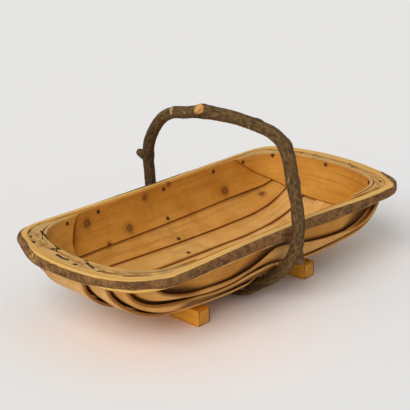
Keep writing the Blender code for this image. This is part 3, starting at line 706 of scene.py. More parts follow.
def make_boards(look):
    boards = {
        "keel_board": (KEEL_NEAR, KEEL_FAR, NEAR_LOW[0], FAR_LOW[0], (LAP, LAP), *KEEL_LIFTS),
        "far_board_1": (FAR_LOW[0], FAR_TOP[0], KEEL_FAR, FAR_LOW[1], (0, LAP), None, FAR_LIFTS[0]),
        "far_board_2": (FAR_LOW[1], FAR_TOP[1], FAR_TOP[0], FAR_LOW[2], (0, LAP), None, FAR_LIFTS[1]),
        "far_side_board": (FAR_LOW[2], (1, 1), FAR_TOP[1], FAR_TOP[1], (0, 0), None, None),
        "near_board_1": (NEAR_LOW[0], NEAR_TOP[0], KEEL_NEAR, NEAR_LOW[1], (0, LAP), None, NEAR_LIFTS[0]),
        "near_board_2": (NEAR_LOW[1], NEAR_TOP[1], NEAR_TOP[0], NEAR_LOW[2], (0, LAP), None, NEAR_LIFTS[1]),
        "near_board_3": (NEAR_LOW[2], NEAR_TOP[2], NEAR_TOP[1], NEAR_LOW[3], (0, LAP), None, NEAR_LIFTS[2]),
        "near_side_board": (NEAR_LOW[3], (-1, -1), NEAR_TOP[2], NEAR_TOP[2], (0, 0), None, None),
    }
    for number, (name, shape) in enumerate(boards.items()):
        mesh, values = board_mesh(name, *shape, number)
        add_piece(name + "_look", mesh, look, "willow_boards", name, tone=TONES[name], **values)


# Rim

RIM_SIDES = 28
RIM_TOP_SQUARE = 0.30
RIM_LOW_SQUARE = 0.42
# Bare wood below the bark on the near side: places along it from the left end, and heights
BARE_X = (-0.26, -0.235, -0.19, -0.13, 0.0, 0.12, 0.275)
BARE_HEIGHTS = (0.0064, 0.0062, 0.0058, 0.0045, 0.0026, 0.0022, 0.0020)
BARE_ELSEWHERE = 0.0016
# The left end, at places across it: bare height, bark over the top, height of the rim
LEFT_END_X = (0.205, 0.235)
LEFT_Y = (-0.110, -0.096, -0.077, -0.055, -0.043, -0.030, 0.0,
          0.030, 0.050, 0.060, 0.070, 0.082, 0.095, 0.125)
LEFT_BARE = (0.0064, 0.0062, 0.0054, 0.0044, 0.0028, 0.0012, 0.0005,
             0.0, 0.0, 0.0, 0.0, 0.0, 0.0, 0.0)
LEFT_COVER = (0.0040, 0.0030, 0.0016, 0.0012, 0.0012, 0.0012, 0.0010,
              0.0010, 0.0018, 0.0030, 0.0045, 0.0070, 0.0072, 0.0030)
LEFT_HEIGHT = (0.0160, 0.0160, 0.0160, 0.0160, 0.0160, 0.0160, 0.0165,
               0.0175, 0.0180, 0.0160, 0.0135, 0.0110, 0.0095, 0.0110)
# How far the bark comes over the top, and how far it stands out
COVER_NEAR = 0.0062
COVER_NEAR_RIGHT = 0.0092
COVER_END = 0.0012
COVER_FAR = 0.0062
COVER_CORNER = 0.0105
BARK_THICKNESS = 0.0004
# How far the way out has to turn to a long side for that side's values to hold
SIDE_FROM = (0.55, 0.95)
# Where the near side's cover widens to the right, and where the near right corner lies along and across
COVER_RIGHT_X = (0.0, 0.08)
CORNER_X = (0.225, 0.250)
CORNER_Y = (0.070, 0.095)


def rim_section(depth, height):
    """Offsets (across from the inner face, down from the top) round the section."""
    points = []
    for k in range(RIM_SIDES - 3):
        angle = math.pi / 2 - math.pi * k / (RIM_SIDES - 4)
        power = RIM_TOP_SQUARE if angle > 0 else RIM_LOW_SQUARE
        down = height / 2 * (1 - math.copysign(abs(math.sin(angle)) ** power, angle))
        bulge = RIM_BULGE * math.sin(math.pi * down / height)
        points.append((depth * abs(math.cos(angle)) ** power + bulge, down))
    for share in (0.75, 0.5, 0.25):
        points.append((0.0, height * share))
    return np.array(points)


def bark_limits(place, outward, run):
    """How far the bark comes over the top, and how high above the underside it starts."""
    near = ramp(-outward[1], *SIDE_FROM)
    far = ramp(outward[1], *SIDE_FROM)
    near_cover = lerp(COVER_NEAR, COVER_NEAR_RIGHT, ramp(place[0], *COVER_RIGHT_X))
    cover = COVER_END + (near_cover - COVER_END) * near + (COVER_FAR - COVER_END) * far
    cover = lerp(cover, COVER_CORNER, ramp(place[0], *CORNER_X) * ramp(-place[1], *CORNER_Y))
    cover += ripple(0.0006, run * 45, 5.0, 0)
    bare = np.interp(place[0], BARE_X, BARE_HEIGHTS) * near + BARE_ELSEWHERE * (1 - near)
    at_left = ramp(-place[0], *LEFT_END_X)
    cover = lerp(cover, np.interp(place[1], LEFT_Y, LEFT_COVER), at_left)
    bare = lerp(bare, np.interp(place[1], LEFT_Y, LEFT_BARE), at_left)
    return cover, bare + ripple(0.0006, run * 60, 9.0, 0)


def make_rim(look):
    rings = []
    grain = []
    bark = []
    for o, i, run in zip(RIM_OUTER, RIM_INNER, run_along(RIM_OUTER)):
        depth = np.linalg.norm(o - i)
        outward = (o - i) / depth
        height = lerp(RIM_TAIL_HEIGHT, RIM_HEIGHT, ramp(run / RIM_TAIL_LENGTH))
        height = lerp(height, np.interp(o[1], LEFT_Y, LEFT_HEIGHT), ramp(-o[0], *LEFT_END_X))
        cover, bare = bark_limits(o, outward, run)
        wave = ripple(0.0008, run * 16, 0, 3.1)
        ring = []
        for across, down in rim_section(depth, height):
            point = np.append(i + outward * across, RIM_TOP - down)
            into_bark = min(across - (depth + RIM_BULGE - cover), height - bare - down)
            rough = ripple(0.0006, *(point * 140)) + ripple(0.0003, *(point * 420))
            soft = ripple(0.0003, run * 30, across * 300, down * 300)
            share = ramp(into_bark, -0.0004, 0.0008)
            if across > 0.001:
                push = soft + share * (BARK_THICKNESS + rough) + wave * ramp(across, 0, depth)
                point[:2] += outward * push
                point[2] += (0.5 - down / height) * 2 * (soft + share * 0.0003)
            ring.append(point)
            bark.append(into_bark)
            grain.append((run, across, 3.0 + down))
        rings.append(ring)
    mesh = loft("rim", np.array(rings) + TRUG_PLACE, smooth_angle=50)
    add_piece("rim_look", mesh, look, "chestnut_bark", "rim", grain=np.array(grain), bark=np.array(bark))


# End linings

LINING_RINGS = 130
LINING_ROWS = 20
# Between which shares of the way from the middle to the tips the low stand-off, the top's and the
# thickness change to the arms' values
LOW_SPAN = (0.15, 0.6)
TOP_SPAN = (0.52, 0.80)
THICK_SPAN = (0.5, 0.8)
# The middle's share of the low stand-off, and how far down the low stand-off takes over from the top's
LOW_MIDDLE_SHARE = 0.45
LOW_FROM = 0.035
# How much of the thickness the lower edge loses, where a lining is deeper than this
LOWER_EDGE_LOSS = 0.35
LOWER_EDGE_DEPTH = 0.01


def lining_path(tip_x):
    tip = side_station(abs(tip_x), 1)
    corners = ((tip, -1), (1, -1), (1, 1), (tip, 1))
    path = []
    for first, second in zip(corners, corners[1:]):
        for share in np.linspace(0, 1, 160, endpoint=False):
            path.append(plan_shares(*(lerp(p, q, share) for p, q in zip(first, second))))
    path.append(plan_shares(*corners[-1]))
    return np.array(path)


def make_lining(name, look, tone, end, tip_x, tip_drop, slant, standoff, top_standoff):
    """Bend a lining round the end's inside, and give its surface for the nails."""
    path = lining_path(tip_x)
    points = surface_point(end * path[:, 0], path[:, 1])[:, :2]
    length = run_along(points)[-1]
    corner = abs(plan_shares(1.0, 1.0)[0])
    arm_top, end_top = top_standoff
    shares = np.linspace(0, 1, LINING_ROWS)
    rings = []
    grain = []
    path_and_run = np.column_stack([path, run_along(points)])
    for a, b, run in picked(spread(points, LINING_RINGS - 1, 0.03), path_and_run)[0]:
        from_middle = abs(2 * run / length - 1)
        drop = lerp(LINING_DROP, tip_drop, from_middle ** LINING_RISE_POWER)
        sheared = a + slant / HULL_HALF_LENGTH * ramp(corner - a, 0, corner - path[0, 0]) * shares
        scale = reach_at(BOARD_TOP - drop * shares) / surface_reach(sheared, b)
        base = surface_point(end * sheared * scale, b * scale)
        normal = surface_normal(end * sheared * scale, b * scale)
        low_away = standoff * lerp(LOW_MIDDLE_SHARE, 1, ramp(from_middle, *LOW_SPAN))
        top_away = lerp(end_top, arm_top, ramp(from_middle, *TOP_SPAN))
        away = lerp(top_away, low_away, ramp(shares * drop, 0.0, LOW_FROM))
        thick = lerp(LINING, LINING_ARM, ramp(from_middle, *THICK_SPAN))
        if drop > LOWER_EDGE_DEPTH:
            thick = thick * (1 - LOWER_EDGE_LOSS * ramp(shares, 0.9, 1.0))
        faces = [base - normal * depth[:, None] for depth in (away + thick, away)]
        for face in faces:
            face[0, 2] = BOARD_TOP
        rings.append(round_section(*faces))
        grain.append(grain_labels(run, drop * shares, 5.0 + end))
    mesh = loft(name, np.array(rings) + TRUG_PLACE)
    add_piece(name + "_look", mesh, look, "willow_boards", name, tone=tone, shade=0.0, cut=0.0,
              grain=np.concatenate(grain))
    return BVHTree.FromPolygons([v.co for v in mesh.vertices], [tuple(p.vertices) for p in mesh.polygons])


# Handle

BRANCH_RINGS = 520
BRANCH_SIDES = 26
REMESH = 0.0010
# The skin's radius before its ridges, as a share of the solid's
SKIN_SHARE = 0.985
# Swellings along the branch: (place in the hoop's plane (y, z), reach, height of the swelling)
KNUCKLES = (
    (0.0365, 0.2365, 0.012, 0.0022), (0.086, 0.225, 0.009, 0.0010), (-0.0622, 0.2412, 0.010, 0.0012),
    (-0.1238, 0.173, 0.011, 0.0020), (0.138, 0.150, 0.010, 0.0010), (-0.112, 0.222, 0.012, 0.0010),
    (-0.1318, 0.094, 0.014, 0.0014),
)


def hull_side_point(w, x, radius):
    s = side_station(x, w)
    away = 2 * BOARD + 2 * FIT + radius * (1 + HOOP_LUMP)
    point = hull_point(s, w) + hull_normal(s, w) * away
    return (x, point[1], point[2])


def tail_x(w, end_x, turn):
    start, full = turn
    return lerp(HOOP_X, end_x, ramp((w - start) / (full - start)))


def leg_place(side, share, drop):
    return HOOP_X, side * HOOP_REACH * share, RIM_TOP - drop


def arch_place(share, height):
    return HOOP_X, HOOP_REACH * share, RIM_TOP + HANDLE_HEIGHT * height


def hoop_points():
    """Centre points of the branch with its girth, from the near tail round to the far one."""
    points = []
    for w in np.linspace(NEAR_TAIL_END, -0.8, 6):
        points.append((*hull_side_point(w, tail_x(w, NEAR_TAIL_X, NEAR_TAIL_TURN), HOOP_RADIUS), 1.0))
    for share, drop in reversed(LEG_TURN):
        points.append((*leg_place(-1, share, drop), 1.0))
    for share, height, girth in ARCH:
        points.append((*arch_place(share, height), girth))
    for share, drop in LEG_TURN:
        points.append((*leg_place(1, share, drop), 0.99))
    splits, split = FAR_TAIL_SPLIT
    for w in np.linspace(0.8, FAR_TAIL_END, 12):
        apart = ramp((w - splits) / (split - splits))
        tip = ramp((w - split) / (FAR_TAIL_END - split))
        girth = lerp(lerp(0.98, FAR_TAIL_GIRTH, apart), FAR_TAIL_TIP_GIRTH, tip)
        x = tail_x(w, FAR_TAIL_X, FAR_TAIL_TURN)
        points.append((*hull_side_point(w, x, HOOP_RADIUS + FAR_TAIL_DROP * apart), girth))
    return np.array(points)


def catmull_rom(points, steps):
    ends = np.vstack([2 * points[0] - points[1], points, 2 * points[-1] - points[-2]])
    curve = []
    for p0, p1, p2, p3 in zip(ends, ends[1:], ends[2:], ends[3:]):
        for t in np.linspace(0, 1, steps, endpoint=False):
            cubic = 2 * p1 + (p2 - p0) * t + (2 * p0 - 5 * p1 + 4 * p2 - p3) * t ** 2
            cubic = cubic + (3 * p1 - p0 - 3 * p2 + p3) * t ** 3
            curve.append(cubic / 2)
    curve.append(points[-1])
    return np.array(curve)


def spokes(side, up, sides):
    """Unit spokes right round, from side by way of up."""
    angles = np.linspace(0, 2 * math.pi, sides, endpoint=False)
    return np.cos(angles)[:, None] * side + np.sin(angles)[:, None] * up


def tube_rings(centres, radii, sides):
    """Round rings square to a line of centres."""
    rings = []
    for centre, tangent, radius in zip(centres, unit(np.gradient(centres, axis=0)), radii):
        side = unit(np.array((1.0, 0, 0)) - tangent * tangent[0])
        rings.append(centre + radius * spokes(side, np.cross(tangent, side), sides))
    return np.array(rings)


def rod_mesh(name, start, axis, length, profile, sides=20):
    """A round rod along a unit axis; its profile is (share of the length, radius)."""
    other = np.array((1.0, 0, 0)) if abs(axis[0]) < 0.8 else np.array((0, 1.0, 0))
    side = unit(np.cross(axis, other))
    round_about = spokes(side, np.cross(axis, side), sides)
    rings = [start + axis * length * along + round_about * radius for along, radius in profile]
    return loft(name, np.array(rings))


def stub_places():
    stubs = []
    for place, (direction, outside, base, tip) in (
            (leg_place(-1, *LEG_TURN[0]), NEAR_LEG_STUB),
            (arch_place(*ARCH[FAR_LEG_STUB_POINT][:2]), FAR_LEG_STUB),
            (arch_place(*ARCH[TOP_KNOT_POINT][:2]), TOP_KNOT)):
        axis = unit(np.array(direction))
        stubs.append((np.array(place), axis, HOOP_RADIUS + outside, HOOP_RADIUS * base, HOOP_RADIUS * tip))
    return stubs


def join_meshes(name, meshes):
    joined = bmesh.new()
    for mesh in meshes:
        joined.from_mesh(mesh)
    result = bpy.data.meshes.new(name)
    joined.to_mesh(result)
    joined.free()
    return result


def remeshed(mesh, voxel, rounds):
    """One even skin round overlapping solids."""
    scratch = bpy.data.objects.new("remesh", mesh)
    bpy.context.scene.collection.objects.link(scratch)
    skin = scratch.modifiers.new("skin", "REMESH")
    skin.mode = "VOXEL"
    skin.voxel_size = voxel
    soften = scratch.modifiers.new("soften", "SMOOTH")
    soften.iterations = rounds
    soften.factor = 0.5
    made = bpy.data.meshes.new_from_object(scratch.evaluated_get(bpy.context.evaluated_depsgraph_get()))
    bpy.data.objects.remove(scratch)
    return made


def mesh_points(mesh):
    flat = np.empty(len(mesh.vertices) * 3, dtype=np.float32)
    mesh.vertices.foreach_get("co", flat)
    return flat.reshape(-1, 3).astype(float)


def make_handle(look):
    fine = catmull_rom(hoop_points(), 24)
    line = picked(spread(fine[:, :3], BRANCH_RINGS - 1, 0.004), fine)[0]
    centres = line[:, :3]
    radii = HOOP_RADIUS * line[:, 3] * SKIN_SHARE
    meshes = [loft("branch", tube_rings(centres, radii, BRANCH_SIDES))]
    for start, axis, length, base, tip in stub_places():
        shoulder = lerp(base, tip, 0.6)
        profile = ((0, base), (0.45, base * 0.97), (0.8, shoulder), (0.96, tip), (1.0, tip * 0.93))
        meshes.append(rod_mesh("stub", start, axis, length, profile))
    mesh = remeshed(join_meshes("handle", meshes), REMESH, 4)
    points = mesh_points(mesh)
    mesh.update()
    normals = np.array([tuple(v.normal) for v in mesh.vertices])
    tree = KDTree(len(centres))
    for number, centre in enumerate(centres):
        tree.insert(centre, number)
    tree.balance()
    near = np.array([tree.find(point)[1] for point in points])
    out = points - centres[near]
    tangents = unit(np.gradient(centres, axis=0)[near])
    along = run_along(centres)[near] + np.sum(out * tangents, axis=1)
    side = np.cross(tangents, np.array((1.0, 0, 0)))
    angle = np.arctan2(out[:, 0], np.sum(out * side, axis=1))
    sawn = np.zeros(len(points))
    for start, axis, length, base, tip in stub_places():
        depth = np.sum((points - start) * axis, axis=1)
        spoke = np.linalg.norm(points - start - depth[:, None] * axis, axis=1)
        face = ramp(depth, length - 0.0012, length - 0.0003) * ramp(spoke, tip * 1.05, tip * 0.8)
        sawn = np.maximum(sawn, face)
    push = np.zeros(len(points))
    for y, z, reach, height in KNUCKLES:
        gap = np.hypot(points[:, 1] - y, points[:, 2] - z)
        push += height * (1 - ramp(gap, reach * 0.2, reach))
    for number, (point, shift, turn) in enumerate(zip(points, along, angle)):
        ridge = ripple(0.0006, shift * 22, math.cos(turn) * 1.6, math.sin(turn) * 1.6)
        push[number] += ridge + ripple(0.0004, *(point * 75)) + ripple(0.00022, *(point * 260))
    push *= 1 - sawn
    points = points + normals * push[:, None] + TRUG_PLACE
    mesh.vertices.foreach_set("co", points.astype(np.float32).ravel())
    mesh.shade_smooth()
    mesh.materials.clear()
    add_piece("handle_branch", mesh, look, "branch_bark", "handle_hoop",
              grain=np.stack([along, angle, push], axis=1), sawn=sawn)


# Feet

FOOT_SECTIONS = 48
FOOT_ROUND = 0.0012


def hull_underside(x, y):
    """Height of the outermost boards' outer face over a point on the ground."""
    low, high = -0.97, 0.97
    for _ in range(30):
        w = (low + high) / 2
        if hull_point(side_station(x, w), w)[1] > y:
            high = w
        else:
            low = w
    s = side_station(x, w)
    return hull_point(s, w)[2] + (2 * BOARD + FIT) / hull_normal(s, w)[2]


def make_foot(name, x, look):
    left = x - FOOT_WIDTH / 2
    right = x + FOOT_WIDTH / 2
    innermost = math.copysign(min(abs(left), abs(right)), x)
    rings = []
    grain = []
    ends = np.linspace(-1, 1, FOOT_SECTIONS)
    ys = FOOT_HALF_LENGTH * np.sign(ends) * (1 - (1 - np.abs(ends)) ** 1.25)
    for number, y in enumerate(ys):
        bend = ripple(0.0003, number * 0.21, x * 50, 2)
        top = min(FOOT_HEIGHT, hull_underside(innermost, y) - FIT)
        pull = FOOT_ROUND * 0.7 * (1 - ramp(FOOT_HALF_LENGTH - abs(y), 0, FOOT_ROUND))
        ring = []
        corners = ((left, 0, 1, 1), (right, 0, -1, 1), (right, top, -1, -1), (left, top, 1, -1))
        for cx, cz, turn_x, turn_z in corners:
            for angle in (0, 30, 60, 90):
                turn = math.radians(angle if turn_x * turn_z > 0 else 90 - angle)
                px = cx + turn_x * (FOOT_ROUND * (1 - math.sin(turn)) + pull) + bend * (0 < cz)
                pz = cz + turn_z * (FOOT_ROUND * (1 - math.cos(turn)) + pull)
                ring.append((px, y, pz))
                grain.append((y + 0.4, px - x, 9.0 + pz))
        rings.append(ring)
    mesh = loft(name, np.array(rings) + TRUG_PLACE, smooth_angle=40)
    add_piece(name + "_look", mesh, look, "golden_foot_wood", name, grain=np.array(grain))


# Nails

NAIL_SIDES = 18
# The domed head's outline: (height over its seat, radius)
NAIL_HEAD = (
    (-0.0009, 0.0008), (-0.00085, 0.0015), (-0.0007, 0.0021),
    (-0.0004, 0.00255), (0.0, 0.0026), (0.0, 0.0009),
)
NAIL_POINT = 0.0005
# Points of a solid nail further than this from its axis belong to its head
HEAD_POINTS_FROM = 0.002
# How far either way a nail looks for the lining that its head lies on
SEAT_SEARCH = 0.010


def nail_line(node):
    """Where the nail's head is, which way it is driven, and how long it is below the head."""
    points = np.array([tuple(vertex.co) for vertex in node.data.vertices])
    centre = points.mean(axis=0)
    axis = np.linalg.svd(points - centre)[2][0]
    depth = (points - centre) @ axis
    spread_out = np.linalg.norm(points - centre - depth[:, None] * axis, axis=1)
    if depth[np.argmax(spread_out)] > 0:
        axis = -axis
        depth = -depth
    head = points[spread_out > HEAD_POINTS_FROM].mean(axis=0)
    return head, axis, depth.max() - ((head - centre) @ axis)


def seated(head, axis, linings):
    """The head laid flat on the lining that the nail goes through, and the way it is driven there."""
    start = Vector(head - axis * SEAT_SEARCH)
    for lining in linings:
        place, normal, _, _ = lining.ray_cast(start, Vector(axis), 2 * SEAT_SEARCH)
        if place:
            return np.array(place), -np.array(normal)
    return head, axis


def make_nail(name, line, look, linings):
    """A slightly domed head over the nail's own place, on a short shank."""
    head, axis, length = line
    if "hoop" not in name:
        head, axis = seated(head, axis, linings)
    profile = [(along / length, radius) for along, radius in NAIL_HEAD] + [(1.0, NAIL_POINT)]
    mesh = rod_mesh(name, head, axis, length, profile, NAIL_SIDES)
    add_piece(name + "_look", mesh, look, "rusty_iron", name)


# Camera, light and floor

def make_camera():
    data = bpy.data.cameras.new("camera")
    data.lens = CAMERA_LENS
    data.sensor_width = 36.0
    camera = bpy.data.objects.new("camera", data)
    camera.location = Vector(CAMERA_PLACE) + Vector(TRUG_PLACE)
    camera.rotation_euler = Vector(CAMERA_BACK).to_track_quat("Z", "Y").to_euler()
    bpy.context.scene.collection.objects.link(camera)
    bpy.context.scene.camera = camera


def make_light():
    scene = bpy.context.scene
    scene.view_settings.view_transform = "Standard"
    world = bpy.data.worlds.new("sky")
    world.use_nodes = True
    background = world.node_tree.nodes["Background"]
    background.inputs["Color"].default_value = SKY_COLOUR
    background.inputs["Strength"].default_value = SKY_STRENGTH
    scene.world = world
    sun = bpy.data.lights.new("softbox", "SUN")
    sun.energy = SUN_STRENGTH
    sun.angle = SUN_SPREAD
    lamp = bpy.data.objects.new("softbox", sun)
    lamp.rotation_euler = Vector(SUN_FROM).to_track_quat("Z", "Y").to_euler()
    scene.collection.objects.link(lamp)


def make_floor():
    mesh = bpy.data.meshes.new("floor")
    h = FLOOR_HALF
    mesh.from_pydata([(-h, -h, 0), (h, -h, 0), (h, h, 0), (-h, h, 0)], [], [(0, 1, 2, 3)])
    floor = bpy.data.objects.new("floor", mesh)
    bpy.context.scene.collection.objects.link(floor)
    finish = Finish("floor_paper")
    # Painted bounce light near the trug
    painted_bounce = finish.near(BOUNCE_PAINT_PLACE, BOUNCE_PAINT_REACH)
    mesh.materials.append(finish.finish(finish.mix(painted_bounce, FLOOR_COLOUR, BOUNCE_PAINT_COLOUR), 0.9, 0.0))


# Finishes

# Knots of the boards in the hull's frame: (centre, radius)
KNOTS = (
    ((-0.1305, 0.1111, 0.0949), 0.01125), ((-0.0602, 0.1035, 0.0697), 0.0105),
    ((-0.0233, 0.1116, 0.1025), 0.00825), ((0.1311, 0.1052, 0.0733), 0.01125),
    ((0.1923, 0.0876, 0.0583), 0.00825), ((0.0238, 0.1121, 0.1104), 0.0060),
    ((-0.1019, 0.0986, 0.0600), 0.00675),
)
KNOT_HALO = (0.24, 0.078, 0.010)
KNOT_CORE = (0.120, 0.038, 0.007)
KNOT_EYE = (0.30, 0.13, 0.040)
KNOT_RINGS = 2400.0
HOLE = ((-0.1019, 0.0986, 0.06), 0.00352)
# Drying cracks across the tops of the board ends: (from, to, half width), in plan
CRACKS = (
    ((-0.2418, 0.1066), (-0.2385, 0.1055), 0.0016), ((-0.2248, 0.1134), (-0.2290, 0.1100), 0.0008),
    ((-0.2370, 0.0967), (-0.2400, 0.0930), 0.0008), ((-0.2474, 0.0785), (-0.2490, 0.0765), 0.0012),
    ((-0.2174, 0.1006), (-0.2275, 0.0769), 0.0007), ((-0.2275, 0.0769), (-0.2332, 0.0588), 0.0009),
    ((-0.2332, 0.0588), (-0.2422, 0.0353), 0.0007), ((-0.2460, 0.0440), (-0.2470, 0.0425), 0.0014),
    ((-0.2417, 0.0395), (-0.2400, 0.0400), 0.0014), ((-0.2551, 0.0259), (-0.2571, 0.0143), 0.0009),
    ((-0.2571, 0.0143), (-0.2562, 0.0043), 0.0009), ((-0.2614, -0.0125), (-0.2600, -0.0135), 0.0015),
    ((-0.2520, -0.0091), (-0.2510, -0.0110), 0.0009), ((-0.2433, -0.0137), (-0.2425, -0.0160), 0.0008),
    ((-0.2466, -0.0192), (-0.2511, -0.0366), 0.0008), ((-0.2539, -0.0467), (-0.2490, -0.0519), 0.0007),
    ((0.2529, 0.0424), (0.2560, 0.0390), 0.0008), ((0.2650, 0.0164), (0.2635, 0.0130), 0.0009),
    ((0.2618, -0.0194), (0.2590, -0.0240), 0.0009), ((0.2534, -0.0297), (0.2550, -0.0350), 0.0007),
    ((0.2587, -0.0668), (0.2560, -0.0740), 0.0010), ((0.2553, -0.0818), (0.2530, -0.0880), 0.0012),
    ((0.2423, -0.0985), (0.2400, -0.0990), 0.0012), ((0.2332, -0.0950), (0.2300, -0.0980), 0.0008),
)
CRACK = (0.045, 0.022, 0.008)
# Each board's wood lies between these two, by its tone: (dark, middle, light)
WOOD = ((0.41, 0.185, 0.034), (0.70, 0.375, 0.105), (0.82, 0.500, 0.190))
WOOD_DEEP = ((0.28, 0.095, 0.006), (0.50, 0.195, 0.014), (0.62, 0.275, 0.036))
DIRT = (0.34, 0.145, 0.030)
NAIL_STAIN = (0.26, 0.13, 0.04)
STAIN_REACH = 0.0058
END_GRAIN = (0.62, 0.36, 0.115)
END_GRAIN_GREY = (0.42, 0.27, 0.105)
END_GRAIN_LINE = (0.27, 0.15, 0.05)
# Painted shade: the brown of the free edges at the left end, then the warm and the dark shade beside the laps
CUT_EDGE_SHADE = (0.25, 0.095, 0.014)
LAP_SHADE_WARM = (0.330, 0.112, 0.012)
LAP_SHADE_DARK = (0.052, 0.017, 0.003)


def knotted(finish, colour):
    """Knots with rings round a dark core, and a hole."""
    ragged = finish.noise(210.0, rough=0.55) * 0.0070 - 0.0032
    for place, radius in KNOTS:
        gap = finish.vector("DISTANCE", finish.here, in_scene(place)) + ragged
        ring = (gap * KNOT_RINGS).maths("SINE").rise(-0.2, 0.9)
        colour = finish.coats(
            colour,
            (gap.rise(radius * 1.5, radius * 0.45) * (0.30 + 0.40 * ring), KNOT_HALO),
            (gap.rise(radius * 0.72, radius * 0.42) * 0.70, KNOT_CORE),
            (gap.rise(radius * 0.26, radius * 0.08) * 0.7, KNOT_EYE))
    place, radius = HOLE
    return finish.mix(finish.near(in_scene(place), radius), colour, CRACK)


def cracks(finish):
    """A mask of the drying cracks, from the distance to each crack's line in plan."""
    flat = finish.vector("MULTIPLY", finish.here, (1.0, 1.0, 0.0))
    wobble = finish.noise(330.0, rough=0.55) * 0.0022 - 0.0011
    lines = []
    for first, last, half in CRACKS:
        start = np.array(in_scene((*first, 0.0)))
        way = np.array(in_scene((*last, 0.0))) - start
        offset = finish.vector("SUBTRACT", flat, tuple(start))
        along = (finish.vector("DOT_PRODUCT", offset, tuple(way)) / float(way @ way)).clamp()
        ahead = finish.node("ShaderNodeCombineXYZ", {}, {k: along * float(way[k]) for k in (0, 1)})
        gap = finish.vector("DISTANCE", offset, ahead) + wobble
        lines.append(gap.rise(half * 2.5, half * 1.5))
    return reduce(Wire.most, lines)


def willow(heads):
    """Cleft willow: fine grain along each board over soft blotches, with knots, nail stains and end grain,
    and painted shade beside the laps and along the free edges at the left end.
    """
    finish = Finish("willow")
    grain = finish.attribute("grain", "Vector")
    tone = finish.attribute("tone")
    fibre = finish.drawn_out(grain, (18, 1100, 60), 4.0)
    streak = finish.drawn_out(grain, (5.0, 210, 60), bend=0.7)
    band = finish.drawn_out(grain, (2.4, 38, 60), rough=0.55, bend=0.6)
    blotch = finish.noise(24.0, 4.0, 0.55)
    cloud = finish.noise(75.0)
    speck = finish.node("ShaderNodeTexVoronoi", {}, {"Vector": finish.here, "Scale": 130.0}, "Distance")
    dark, middle, light = (finish.mix(tone, deep, pale) for deep, pale in zip(WOOD_DEEP, WOOD))
    colour = finish.coats(
        middle,
        ((blotch * 0.9 + band * 0.7 + cloud * 0.35).rise(0.72, 1.25), light),
        (streak.rise(0.48, 0.80) * 0.55 + fibre.rise(0.48, 0.78) * 0.34, dark),
        (speck.rise(0.16, 0.05) * cloud.rise(0.5, 0.62) * 0.7, NAIL_STAIN),
        (finish.noise(15.0, 5.0, 0.72).rise(0.52, 0.70) * 0.34, DIRT))
    colour = knotted(finish, colour)
    colour = finish.coats(colour, *((finish.near(head, STAIN_REACH) * 0.8, NAIL_STAIN) for head in heads))
    # The boards' own end grain shows on top, greyer and cracked
    height = finish.part(finish.here, 2)
    top = height.rise(BOARD_TOP - 0.0024, BOARD_TOP - 0.0018)
    ends = finish.coats(
        END_GRAIN,
        (finish.noise(55.0).rise(0.38, 0.66) * 0.8, END_GRAIN_GREY),
        (finish.drawn_out(grain, (260, 900, 60)).rise(0.58, 0.78) * 0.5, END_GRAIN_LINE))
    crack = cracks(finish)
    shade = finish.attribute("shade")
    colour = finish.coats(
        colour,
        # Painted shade along the free edges at the left end
        (finish.attribute("cut") * 0.80, CUT_EDGE_SHADE),
        (top * abs(finish.part(finish.here, 0)).rise(0.14, 0.20), ends),
        (crack * height.rise(BOARD_TOP - 0.005, BOARD_TOP - 0.003), CRACK),
        # Painted shade beside the laps and on the bellies, warm and then dark
        (shade.rise(0.02, 0.60) * 0.62, LAP_SHADE_WARM),
        (shade.rise(0.40, 1.00) * 0.90, LAP_SHADE_DARK))
    finish.bump(fibre * 0.4 + streak * 0.8 - crack * top * 3.0, 0.0005)
    return finish.finish(colour, 0.55 + blotch * 0.16, 0.14)


# Places where the bark is off and pale wood shows, in the hull's frame: (centre, radius)
BARK_LOSSES = (
    ((-0.272, 0.052, 0.108), 0.013), ((-0.268, -0.004, 0.110), 0.012), ((-0.272, 0.020, 0.104), 0.008),
    ((-0.262, 0.095, 0.110), 0.010), ((-0.266, 0.035, 0.111), 0.009),
)
BARK = (0.255, 0.118, 0.037)
BARK_DARK = (0.115, 0.050, 0.021)
BARK_PALE = (0.47, 0.29, 0.100)
CLEFT = (0.74, 0.435, 0.125)
CLEFT_DARK = (0.46, 0.225, 0.050)
CLEFT_LINE = (0.30, 0.145, 0.035)
BARK_PIT = (0.045, 0.022, 0.013)


def rim_finish():
    """Mottled purplish brown bark over pale cleft wood."""
    finish = Finish("rim_bark_and_wood")
    grain = finish.attribute("grain", "Vector")
    ragged = finish.drawn_out(grain, (320, 900, 900), 4.0, 0.65)
    coarse = finish.drawn_out(grain, (70, 300, 300))
    loss = reduce(Wire.most, [finish.near(in_scene(place), radius) for place, radius in BARK_LOSSES])
    patchy = loss * finish.noise(210.0).rise(0.44, 0.56)
    depth = finish.attribute("bark") + (ragged - 0.5) * 0.0015 + (coarse - 0.5) * 0.0010
    covered = depth.rise(-0.0003, 0.0003) * (1 - patchy * 0.85)
    mottle = finish.noise(95.0, 4.0, 0.62)
    fine = finish.noise(520.0, rough=0.65)
    bark = finish.coats(
        BARK_DARK,
        (mottle.rise(0.36, 0.66), BARK),
        (fine.rise(0.54, 0.72) * 0.75, BARK_PALE),
        (fine.rise(0.44, 0.30) * 0.7, BARK_PIT))
    fibre = finish.drawn_out(grain, (14, 900, 900), 4.0)
    wood = finish.coats(
        CLEFT,
        (finish.drawn_out(grain, (4, 210, 210)).rise(0.40, 0.75) * 0.8, CLEFT_DARK),
        (fibre.rise(0.60, 0.80) * 0.5, CLEFT_LINE))
    finish.bump(covered * (mottle * 1.6 + fine) + fibre * 0.3, 0.0011)
    return finish.finish(finish.mix(covered, wood, bark), 0.60 + covered * 0.16, 0.12)


